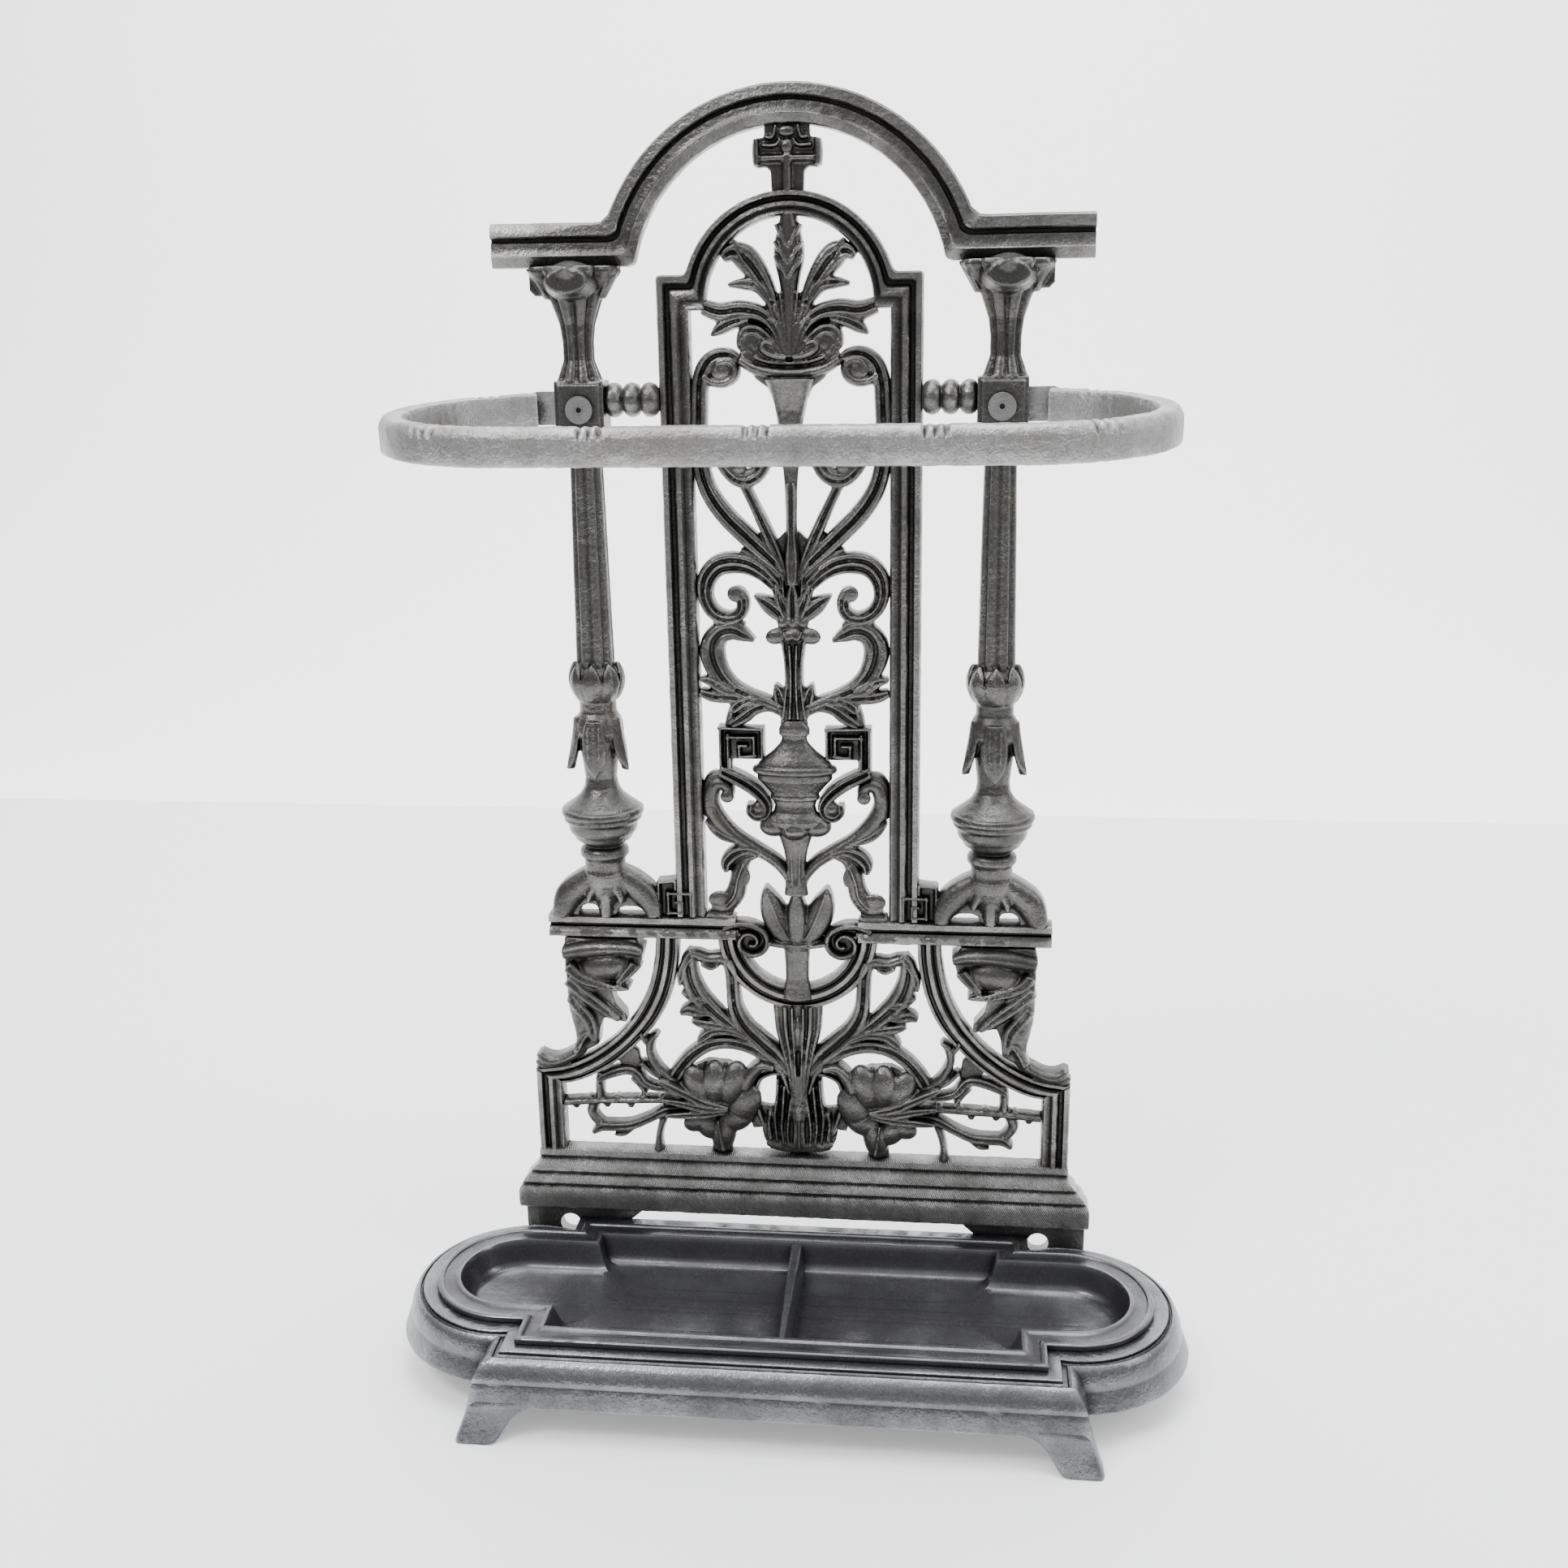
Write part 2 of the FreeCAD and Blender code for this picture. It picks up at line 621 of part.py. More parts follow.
def columns():
    """Turned columns with a square block for the hoop; their backs are cut flat."""
    below = [("ankle", S.ankle_radius, S.ankle_radius, S.ankle_height),
             ("ring", S.ring_radius, S.ring_radius, S.ring_height),
             ("waist", S.waist_radius, S.waist_radius, S.waist_height),
             ("bowl", S.bowl_low_radius, S.bowl_radius, S.bowl_height),
             ("rim", S.rim_radius, S.rim_radius, S.rim_height),
             ("shoulder", S.shoulder_radius, S.throat_radius, S.shoulder_height),
             ("neck", S.throat_radius, S.neck_radius, S.neck_height),
             ("collar", S.collar_tip, S.collar_radius, S.collar_height),
             ("band", S.band_radius, S.band_radius, S.band_height),
             ("bulb_low", S.shaft_low, S.bulb_radius, S.bulb_height / 2),
             ("bulb_high", S.bulb_radius, S.shaft_low, S.bulb_height / 2)]
    above = [("flare", S.shaft_low, S.capital_radius, S.flare_height),
             ("capital", S.capital_radius, S.capital_radius, S.capital_height),
             ("bell", S.capital_radius, S.bell_radius, S.bell_height),
             ("abacus", S.bell_radius, S.abacus_radius, S.abacus_height)]
    start = SHELF_TOP + S.claw_height
    block_low = BLOCK_TOP - S.block_height
    for side, sign in SIDES.items():
        x = S.column_x * sign
        height = start
        pieces = []
        for name, low, high, tall in below:
            pieces.append(turned(side + "_" + name, x, height, low, high, tall))
            height = height + tall
        pieces.append(turned(side + "_shaft", x, height, S.shaft_low, S.shaft_high,
                             block_low - height))
        pieces.append(bind("Box", side + "_block",
                           at=(x - S.block_side / 2, -S.block_proud, block_low),
                           Length=S.block_side, Width=S.block_proud + LUG_FRONT,
                           Height=S.block_height))
        height = BLOCK_TOP
        for name, low, high, tall in above:
            pieces.append(turned(side + "_" + name, x, height, low, high, tall))
            height = height + tall
        turning = join(side + "_turning", pieces)
        hole = bolt_hole(side + "_block_hole", x, BOLT_Z)
        back = bind("Box", side + "_column_back", at=(x - REACH, S.panel_thick, start),
                    Length=2 * REACH, Width=REACH, Height=CAP_BOTTOM - start)
        tools = join(side + "_column_tools", [hole, back])
        keep(side + "_column", subtract(side + "_column_flat", turning, tools))


def turned(name, x, z, low, high, tall):
    """One level of a turned column."""
    if low.text == high.text:
        return bind("Cylinder", name, at=(x, 0, z), Radius=low, Height=tall)
    return bind("Cone", name, at=(x, 0, z), Radius1=low, Radius2=high, Height=tall)


def bolt_hole(name, x, z):
    """Clearance hole for a bolt, along the depth of the back."""
    return bind("Cylinder", name, turn=TO_BACK, at=(x, -REACH, z),
                Radius=(S.bolt_d + S.bolt_play) / 2, Height=2 * REACH)


def claw_feet():
    """Three-toed feet that carry the columns on the shelf."""
    low = SHELF_TOP.value
    tall = S.claw_height.value
    x = S.column_x.value
    ankle = S.ankle_radius.value
    half = S.claw_out.value
    gap = half * 0.28
    toe = tall * 0.3
    inner = x - S.claw_in.value
    steps = [(x - ankle, low + tall), ((x - half * 0.72, low + tall * 0.72), (inner, low + toe)),
             (inner, low), (x - gap * 2.2, low),
             ((x - gap * 1.35, low + toe), (x - gap * 0.5, low)), (x + gap * 0.5, low),
             ((x + gap * 1.35, low + toe), (x + gap * 2.2, low)), (x + half, low),
             ((x + half * 0.8, low + tall * 0.72), (x + ankle, low + tall))]
    claw = slab(steps, -S.claw_proud.value, S.panel_thick.value)
    both_sides("claw_foot", clear_of(claw, "right_key_block"))


def spindles():
    """Bead-turned ties between each column's block and the inner frame."""
    beads = 3
    start = S.frame_half
    span = S.column_x - S.block_side / 2 - start
    z = BLOCK_TOP - S.spindle_drop
    for side, sign in SIDES.items():
        low_x = start if sign > 0 else -(start + span)
        pieces = [bind("Cylinder", side + "_spindle_core", turn=TO_RIGHT, at=(low_x, 0, z),
                       Radius=S.spindle_radius, Height=span)]
        for bead in range(beads):
            pieces.append(bind("Ellipsoid", "%s_bead_%d" % (side, bead + 1),
                               at=(low_x + span * ((bead + 0.5) / beads), 0, z),
                               Radius1=S.bead_radius, Radius2=span / (beads * 2),
                               Radius3=S.bead_radius))
        turning = join(side + "_spindle_turning", pieces)
        back = bind("Box", side + "_spindle_back", at=(low_x, S.panel_thick, z - REACH),
                    Length=span, Width=REACH, Height=2 * REACH)
        keep(side + "_spindle", subtract(side + "_spindle_flat", turning, back))


# ---------------------------------------------------------------- upper ornament

def fuse_all(shapes):
    """One solid from overlapping ones."""
    return one_solid(shapes[0].fuse(shapes[1:]).removeSplitter())


def clear_of(shape, *names):
    """The shape cut back where other sub-parts already are."""
    tools = [back_to_panel(nodes[name].Shape) for name in names]
    return one_solid(shape.cut(tools).removeSplitter())


FRAME = ("frame_arch", "left_stile", "right_stile", "left_shelf", "right_shelf", "pendant")


def bouquet():
    """Bud with four leaves in a shallow bowl on a tapering stem."""
    pieces = [ribbon(upper((0, 342), (0, 375), (0, 400), (0, 430)), [3, 5, 9, 6]),
              slab(upper((-25, 341), (25, 341), (16, 333), (8, 322), (5, 285), (4, 240),
                         (-4, 240), (-5, 285), (-8, 322), (-16, 333)), -6, 8)]
    for sign in (-1, 1):
        for points, halves in (
                (upper((2, 338), (12, 372), (24, 394), (42, 408)), [3, 5, 6, 4]),
                (upper((3, 338), (14, 364), (28, 369), (52, 372)), [3, 4, 4, 5]),
                (upper((5, 338), (12, 355), (20, 360), (28, 355)), [3, 4, 4, 1.5])):
            pieces.append(ribbon([(x * sign, z) for x, z in points], halves))
    keep_shape("bouquet", clear_of(fuse_all(pieces), *FRAME))


def lyres():
    """Long scrolls from the calyx, out to the stiles and back to the bowl."""
    outer = ribbon(upper((27, 340), (33, 344), (43, 347), (51, 342), (55.5, 328), (56.5, 305),
                         (54.5, 278), (46, 259), (33, 242), (20, 228), (8, 214)),
                   [2, 3.5, 4, 4, 4, 4, 4, 4])
    curl = ribbon(upper((33, 344), (32, 336), (37, 331), (42, 334)), [3, 3, 3, 4])
    inner = ribbon(upper((8, 300), (15, 289), (22, 278), (31, 276), (36, 281), (31, 286)),
                   [2, 3, 3, 3, 3])
    stem = ribbon(upper((28, 275), (26, 264), (19, 252), (12, 237), (5, 220)), [3, 3.5, 3.5, 3])
    shape = fuse_all([outer, curl, stem, inner])
    both_sides("lyre_scroll", clear_of(shape, "bouquet", *FRAME))


def c_scrolls():
    """Large C-shaped scrolls beside the calyx."""
    shape = ribbon(upper((6, 210), (15, 218), (25, 225), (38, 228), (49, 223), (54.5, 212),
                         (53, 200), (46, 192), (37, 191), (31, 197), (30, 205), (34, 209)),
                   [4, 4, 4.5, 4.5, 4, 4, 4, 3.5])
    both_sides("c_scroll", clear_of(shape, "bouquet", "right_lyre_scroll", *FRAME))


def vase():
    """Fluted trumpet vase with a leafy calyx above its lip."""
    outline = upper((-8, 127), (8, 127), (7, 145), (5, 160), (7, 176), (15, 179), (16, 185),
                    (8, 188), (22, 204), (8, 200), (0, 212), (-8, 200), (-22, 204), (-8, 188),
                    (-16, 185), (-15, 179), (-7, 176), (-5, 160), (-7, 145))
    above = ("bouquet", "right_lyre_scroll", "left_lyre_scroll", "right_c_scroll",
             "left_c_scroll")
    keep_shape("vase", clear_of(slab(outline, -5, S.ornament_thick.value), *above))


def acanthus():
    """Hooked leaf scrolls from the vase to the stiles."""
    scroll = ribbon(upper((6, 140), (20, 143), (34, 145), (46, 153), (52, 166), (52, 177),
                          (45, 184), (35, 185), (25, 179)), [2, 3, 4, 6, 5, 5, 2])
    leaf = ribbon(upper((20, 142), (38, 145), (60, 148)), [3, 4, 5])
    droop = ribbon(upper((8, 136), (18, 140), (28, 135), (38, 122)), [2, 3, 5, 6])
    shape = fuse_all([scroll, leaf, droop])
    tools = ("vase", "right_c_scroll") + FRAME
    both_sides("acanthus", clear_of(shape, *tools))


def key_squares():
    """Square key patterns with a curled leg, either side of the urn."""
    square = slab(upper((19, 97), (47.5, 97), (47.5, 124), (19, 124)), 0,
                  S.ornament_thick.value)
    leg = ribbon(upper((44, 100), (30, 92), (18, 84), (13, 75), (18, 70), (24, 73)),
                 [4, 4, 4, 4, 3])
    tie = slab(upper((40, 92), (60, 88), (60, 74), (50, 70), (44, 84)), 0,
               S.ornament_thick.value)
    shape = fuse_all([square, leg, tie])
    hook = slab(upper((24, 108), (42, 108), (42, 120), (24, 120)), -1, S.groove_deep.value)
    knob = slab(upper((28, 112), (38, 112), (38, 116), (28, 116)), -1, S.groove_deep.value)
    shape = shape.cut(hook.cut(knob))
    both_sides("key_square", clear_of(shape, "right_acanthus", "vase", *FRAME))


def urn():
    """Urn below the vase, with a lobed lower bowl."""
    outline = upper((-9, 127), (9, 127), (9, 117), (18, 104), (20, 98), (18, 92), (12, 82),
                    (12, 75), (20, 66), (18, 60), (8, 57), (4, 22), (-4, 22), (-8, 57),
                    (-18, 60), (-20, 66), (-12, 75), (-12, 82), (-18, 92), (-20, 98),
                    (-18, 104), (-9, 117))
    keep_shape("urn", clear_of(slab(outline, -6, S.ornament_thick.value), "left_key_square",
                               "right_key_square", "left_acanthus", "right_acanthus"))


def branches():
    """Leafy branches that rise from the urn's stem to the stiles and droop to the shelf."""
    arm = ribbon(upper((4, 30), (15, 41), (28, 50), (40, 58), (50, 66), (56, 75)),
                 [3, 4, 4.5, 5, 6])
    droop = ribbon(upper((24, 46), (34, 40), (38, 28), (41, 14), (50, 8), (62, 6)),
                   [3, 5, 4, 5, 6])
    shape = fuse_all([arm, droop])
    both_sides("branch", clear_of(shape, "urn", "right_key_square", *FRAME))


def tulip():
    """Open tulip on a collar, standing on the pendant."""
    base = SHELF_BOTTOM.value - PENDANT_OUTER.value + S.pendant_band.value
    outline = upper((-9, -18), (9, -18), (20, -4), (22, 8), (19, 22), (7, 14), (0, 24), (-7, 14),
                    (-19, 22), (-22, 8), (-20, -4))
    flower = slab(outline, -5, S.ornament_thick.value)
    collar = slab(upper((-17, -21), (17, -21), (17, -17), (-17, -17)), -4,
                  S.ornament_thick.value)
    stem = slab([(-6, base - 8), (6, base - 8)] + upper((6, -20), (-6, -20)), -3,
                S.ornament_thick.value)
    shape = fuse_all([flower, collar, stem])
    tools = ("urn", "left_branch", "right_branch") + FRAME
    keep_shape("tulip", clear_of(shape, *tools))


def volutes():
    """Round volutes between the tulip's collar and the shelf."""
    eye = disc(27, upper((0, -17))[0][1], 10)
    tie = ribbon(upper((28, -10), (38, -9), (50, -6)), [4, 4, 5])
    shape = fuse_all([eye, tie])
    both_sides("volute", clear_of(shape, "tulip", *FRAME))


# ---------------------------------------------------------------- lower ornament

PANEL_EDGE = ("pendant", "right_sweep", "right_post", "right_shelf", "plinth")


def palmette():
    """Fluted leaf bundle in the middle of the lower panel."""
    outline = lower((-20, 0), (20, 0), (25, 22), (27, 45), (20, 30), (12, 48), (9, 75), (12, 96),
                    (17, 125), (-17, 125), (-12, 96), (-9, 75), (-12, 48), (-20, 30),
                    (-27, 45), (-25, 22))
    solid = slab(outline, -5, S.ornament_thick.value)
    keep_shape("palmette", clear_of(solid, "pendant", "plinth", "tulip"))


def stalks():
    """Leafy stalks that fork from the palmette to the pendant and to the shelf."""
    stem = ribbon(lower((5, 62), (14, 80), (26, 95), (36, 110), (42, 128), (41, 150)),
                  [4, 7, 6, 5, 4])
    leaf = ribbon(lower((32, 98), (46, 108), (60, 120), (70, 134), (72, 148), (62, 156),
                        (56, 166)), [3, 6, 8, 6, 5, 5])
    arch = ribbon(lower((12, 74), (26, 86), (42, 91), (57, 90), (70, 82), (80, 68), (86, 58)),
                  [3, 3.5, 4, 4, 4, 4])
    shape = fuse_all([stem, leaf, arch])
    both_sides("stalk", clear_of(shape, "palmette", *PANEL_EDGE))


def flowers():
    """Round flower heads that stand on the plinth."""
    shapes = [disc(x, z, radius, -6) for (x, z), radius in zip(
        lower((55, 54), (70, 30), (54, 26)), (19, 8, 10))]
    tie = ribbon(lower((18, 72), (30, 62), (42, 50)), [3, 4, 5])
    foot = ribbon(lower((54, 20), (54, 8), (54, -6)), [7, 5, 6])
    shape = fuse_all(shapes + [tie, foot])
    both_sides("flower", clear_of(shape, "palmette", "right_stalk", *PANEL_EDGE))


def briars():
    """Thorny twigs from the flower to the post."""
    twigs = [ribbon(lower((60, 46), (85, 47), (110, 45), (135, 44), (165, 43)), [3, 3, 3, 3]),
             ribbon(lower((70, 50), (86, 62), (97, 76), (103, 92), (112, 104)), [4, 4, 3.5, 4]),
             ribbon(lower((66, 44), (92, 37), (110, 29), (125, 27), (138, 24)), [3, 3.5, 3, 2]),
             ribbon(lower((90, 38), (92, 22), (93, -6)), [3, 3, 4]),
             ribbon(lower((88, 54), (104, 62), (120, 62), (131, 58), (133, 44)), [3, 3, 3, 3]),
             ribbon(lower((141, 44), (141, 34), (133, 26)), [3, 3, 2])]
    shape = fuse_all(twigs)
    both_sides("briar", clear_of(shape, "right_flower", "right_stalk", *PANEL_EDGE))


# ---------------------------------------------------------------- hoop and fasteners

def hoop():
    """Flat-ended hoop of bevelled bar, tilted a little forward, with a lug at each end."""
    thick = S.hoop_thick.value
    high = S.hoop_high.value
    bevel = S.hoop_bevel.value
    rear = S.panel_thick.value
    radius = (S.hoop_front.value + rear - thick) / 2
    centre_y = rear - thick / 2 - radius
    centre_x = S.hoop_half.value - thick / 2 - radius
    start_x = (S.column_x + S.hoop_start).value
    lug_x = (S.column_x - S.lug_end).value
    start = math.degrees(math.acos((start_x - centre_x) / radius))
    low_x, high_x = radius - thick / 2, radius + thick / 2
    section = [(low_x, -high / 2), (high_x - bevel / 2, -high / 2), (high_x, bevel / 2 - high / 2),
               (high_x, high / 2 - bevel), (high_x - bevel, high / 2),
               (low_x + bevel / 2, high / 2), (low_x, high / 2 - bevel / 2)]
    face = face_of(section, upright)
    bend = face.revolve(Vector(0, 0, 0), Vector(0, 0, 1), -(90 + start))
    bend.rotate(Vector(0, 0, 0), Vector(0, 0, 1), start)
    bend.translate(Vector(centre_x, centre_y, 0))
    side = face.copy()
    side.rotate(Vector(0, 0, 0), Vector(0, 0, 1), -90)
    side.translate(Vector(-centre_x, centre_y, 0))
    bar = side.extrude(Vector(2 * centre_x, 0, 0)).fuse([bend, mirrored(bend)])
    pivot = Vector(0, rear - S.block_recess.value / 2, 0)
    bar.rotate(pivot, Vector(1, 0, 0), S.hoop_tilt.value)
    lug = Part.makeBox(start_x + S.lug_overlap.value - lug_x, S.block_recess.value, high,
                       Vector(lug_x, rear - S.block_recess.value, -high / 2))
    drill_radius = (S.bolt_d + S.bolt_play).value / 2
    hole = Part.makeCylinder(drill_radius, 2 * REACH, Vector(S.column_x.value, -REACH, 0),
                             Vector(0, 1, 0))
    lug = lug.cut(hole)
    shape = one_solid(bar.fuse([lug, mirrored(lug)]).removeSplitter())
    shape.translate(Vector(0, 0, BOLT_Z.value))
    keep_shape("hoop", shape)


def fasteners(name, x, z, head_y, washer_y, nut_y, tip_y, forward):
    """A pair of bolts with their washers and square nuts; forward bolts have heads in front."""
    bolts = []
    washers = []
    nuts = []
    for side, sign in SIDES.items():
        tag = "%s_%s" % (side, name)
        at_x = x * sign
        low = head_y + S.head_high if forward else tip_y
        high = tip_y if forward else head_y
        head = bind("Cylinder", tag + "_head", turn=TO_BACK, at=(at_x, head_y, z),
                    Radius=S.head_d / 2, Height=S.head_high)
        shank = bind("Cylinder", tag + "_shank", turn=TO_BACK, at=(at_x, low, z),
                     Radius=S.bolt_d / 2, Height=high - low)
        bolt = join(tag + "_bolt", [head, shank])
        if forward:
            dimple = bind("Cylinder", tag + "_dimple", turn=TO_BACK, at=(at_x, head_y - 1, z),
                          Radius=S.dimple_d / 2, Height=S.dimple_deep + 1)
            bolt = subtract(tag + "_bolt_marked", bolt, dimple)
        bolts.append(bolt)
        washers.append(ring(tag + "_washer", at_x, washer_y, z, S.bolt_d + S.bolt_play))
        plate = bind("Box", tag + "_nut_block",
                     at=(at_x - S.nut_side / 2, nut_y, z - S.nut_side / 2),
                     Length=S.nut_side, Width=S.nut_high, Height=S.nut_side)
        bore = bind("Cylinder", tag + "_nut_bore", turn=TO_BACK, at=(at_x, nut_y - 1, z),
                    Radius=(S.bolt_d + S.thread_play) / 2, Height=S.nut_high + 2)
        nuts.append(subtract(tag + "_nut", plate, bore))
    keep(name + "_bolts", group(name + "_bolt_pair", bolts))
    keep(name + "_washers", group(name + "_washer_pair", washers))
    keep(name + "_nuts", group(name + "_nut_pair", nuts))


def ring(name, x, y, z, bore_d):
    """Flat washer across the depth of the back."""
    plate = bind("Cylinder", name + "_plate", turn=TO_BACK, at=(x, y, z),
                 Radius=S.washer_d / 2, Height=S.washer_thick)
    bore = bind("Cylinder", name + "_bore", turn=TO_BACK, at=(x, y - 1, z),
                Radius=bore_d / 2, Height=S.washer_thick + 2)
    return subtract(name, plate, bore)


# ---------------------------------------------------------------- base and tray

def level(z, steps):
    """Closed wire at height z; steps run along the right half, from front middle to rear."""
    here = Vector(steps[0][0], steps[0][1], z)
    edges = []
    for step in steps[1:]:
        if isinstance(step[0], tuple):
            target = Vector(step[1][0], step[1][1], z)
            edges.append(Part.Arc(here, Vector(step[0][0], step[0][1], z), target).toShape())
        else:
            target = Vector(step[0], step[1], z)
            edges.append(Part.LineSegment(here, target).toShape())
        here = target
    half = Part.Wire(edges[1:])
    other = mirrored(half)
    front = Part.LineSegment(other.Vertexes[0].Point, half.Vertexes[0].Point).toShape()
    rear = Part.LineSegment(half.Vertexes[-1].Point, other.Vertexes[-1].Point).toShape()
    return Part.Wire(Part.__sortEdges__(half.Edges + other.Edges + [front, rear]))


def lobed(z, front_half, front, lobe_x, lobe_y, radius, rear_half, rear):
    """Level outline of a straight middle between two round lobes."""
    def meet(x, sign):
        return lobe_y + sign * math.sqrt(max(radius ** 2 - (x - lobe_x) ** 2, 0))
    front_meet = meet(front_half, -1)
    rear_meet = meet(rear_half, 1)
    return level(z, [(0, front), (front_half, front), (front_half, front_meet),
                     ((lobe_x + radius, lobe_y), (rear_half, rear_meet)), (rear_half, rear)])


def base_level(z, front_half, front, radius, inset=0.0):
    """Outline of the base at one height, or of its hollow when inset by the wall."""
    return lobed(z, front_half.value - inset, inset - front.value, LOBE_X.value,
                 -S.lobe_y.value, radius.value - inset, REAR_HALF.value - inset, -inset)


def base_outline(inset, low, drop):
    """Levels of the base from its skirt up to its rim."""
    return [base_level(low, SKIRT_HALF, SKIRT_FRONT, SKIRT_LOBE, inset),
            base_level(S.edge_z.value - drop, EDGE_HALF, EDGE_FRONT, EDGE_LOBE, inset),
            base_level(S.rim_z.value - drop, RIM_HALF, RIM_FRONT, RIM_LOBE, inset)]


def foot(x_high, x_low, wide, y_high, y_low):
    """Splayed foot between the skirt and the floor."""
    deep = S.foot_deep.value
    wires = []
    for z, x, y in ((S.skirt_z.value + 4, x_high, y_high), (0, x_low, y_low)):
        corners = [Vector(x - wide, y, z), Vector(x, y, z), Vector(x, y + deep, z),
                   Vector(x - wide, y + deep, z)]
        wires.append(Part.makePolygon(corners + corners[:1]))
    return Part.makeLoft(wires, True, True)


def base():
    """Hollow base casting with a well for the tray, standing on four feet."""
    outside = Part.makeLoft(base_outline(0.0, S.skirt_z.value, 0.0), True, True)
    hollow = Part.makeLoft(base_outline(S.base_wall.value, S.skirt_z.value - 1,
                                        S.deck_thick.value), True, True)
    well = Part.Face(tray_level(0, S.flange_rest.value)).extrude(Vector(0, 0, REACH))
    wide = S.foot_wide.value
    deep = S.foot_deep.value
    front = SKIRT_FRONT.value
    spread = S.foot_spread.value
    feet = [foot(SKIRT_HALF.value, SKIRT_HALF.value + spread, wide, -front, -FRONT_REACH.value),
            foot(REAR_HALF.value, REAR_HALF.value + spread, wide, -deep, -deep)]
    shape = outside.cut([hollow, well])
    shape = shape.fuse(feet + [mirrored(item) for item in feet]).removeSplitter()
    radius = (S.bolt_d + S.bolt_play).value / 2
    for sign in SIDES.values():
        x = BASE_BOLT_X.value * sign
        hole = Part.makeCylinder(radius, REACH, Vector(x, -REACH / 2, S.base_bolt_z.value),
                                 Vector(0, 1, 0))
        shape = shape.cut(hole)
    keep_shape("base", one_solid(shape))


def tray_level(z, inset):
    """Outline of the tray's flange at one height, inset on all sides."""
    lobe_x = LOBE_X.value
    lobe_y = -S.lobe_y.value
    radius = S.tray_lobe.value - inset
    front_half = S.tray_front_half.value - inset
    rear_half = TRAY_REAR_HALF.value - inset
    front = inset - S.tray_front.value
    rear = -(S.plinth_proud + S.lift_play).value - inset
    return level(z, [(0, front), (front_half, front), (front_half, lobe_y - radius),
                     (lobe_x, lobe_y - radius), ((lobe_x + radius, lobe_y),
                                                 (lobe_x, lobe_y + radius)),
                     (rear_half, lobe_y + radius), (rear_half, rear)])


def basin(low, high, inset_low, inset_high):
    """Solid with the tray's outline and sloping sides."""
    return Part.makeLoft([tray_level(low, inset_low), tray_level(high, inset_high)], True, True)


def drip_tray():
    """Loose tray that hangs by its flange on the base's rim, with a rib across the middle."""
    rim = S.rim_z.value
    top = rim + S.flange_thick.value
    floor = top - S.tray_depth.value
    wall = S.tray_wall.value
    wide = S.flange_wide.value
    draft = S.tray_draft.value
    flange = Part.Face(tray_level(rim, 0)).extrude(Vector(0, 0, S.flange_thick.value))
    outside = basin(floor - wall, rim, wide - wall + draft, wide - wall)
    inside = basin(floor, top, wide + draft, wide)
    foot_half = S.rib_foot.value
    top_half = S.rib_top.value
    crest = floor + S.rib_high.value
    steps = [(-foot_half, floor), (foot_half, floor), (top_half, crest), (-top_half, crest)]
    rib = slab(steps, -FRONT_REACH.value, 0)
    rib = rib.common(inside)
    tray = flange.fuse(outside).cut(inside).fuse(rib).removeSplitter()
    keep_shape("drip_tray", one_solid(tray))


TO_BACK = Rotation(Vector(1, 0, 0), -90)
TO_RIGHT = Rotation(Vector(0, 1, 0), 90)


def build():
    """Every sub-part, in an order in which each can be cut back from those before it."""
    top_rail()
    frame_arch()
    cross_link()
    stiles()
    shelves()
    pendant()
    sweeps()
    posts()
    plinth()
    legs()
    key_blocks()
    consoles()
    columns()
    claw_feet()
    spindles()
    doc.recompute()
    for draw in (bouquet, lyres, c_scrolls, vase, acanthus, key_squares, urn, branches, tulip,
                 volutes, palmette, stalks, flowers, briars, hoop, base, drip_tray):
        draw()
    fasteners("hoop", S.column_x, BOLT_Z, -S.block_proud - S.head_high, S.panel_thick,
              S.panel_thick + S.washer_thick, BACK_REACH, True)
    fasteners("base", BASE_BOLT_X, S.base_bolt_z,
              S.panel_thick + S.washer_thick, S.panel_thick, -S.base_wall - S.nut_high,
              -S.base_wall - S.nut_high - S.bolt_tip, False)
    doc.recompute()


def write():
    """Check every object, then write each sub-part's file."""
    for item in doc.Objects:
        if "Invalid" in item.State or "Error" in item.State:
            raise RuntimeError("%s is not built: %s" % (item.Name, item.State))
    for name, item in nodes.items():
        if item.Shape.isNull() or not item.Shape.isValid() or not item.Shape.Solids:
            raise RuntimeError("%s has no valid solid" % name)
    os.makedirs("parts", exist_ok=True)
    for name, item in nodes.items():
        item.Shape.exportStep(os.path.join("parts", name + ".step"))


build()
write()
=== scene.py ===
"""Cast-iron umbrella stand: openwork back, hoop, base and loose drip tray."""

import math

import bpy
import bmesh
import numpy as np
from mathutils import Matrix, Vector, noise


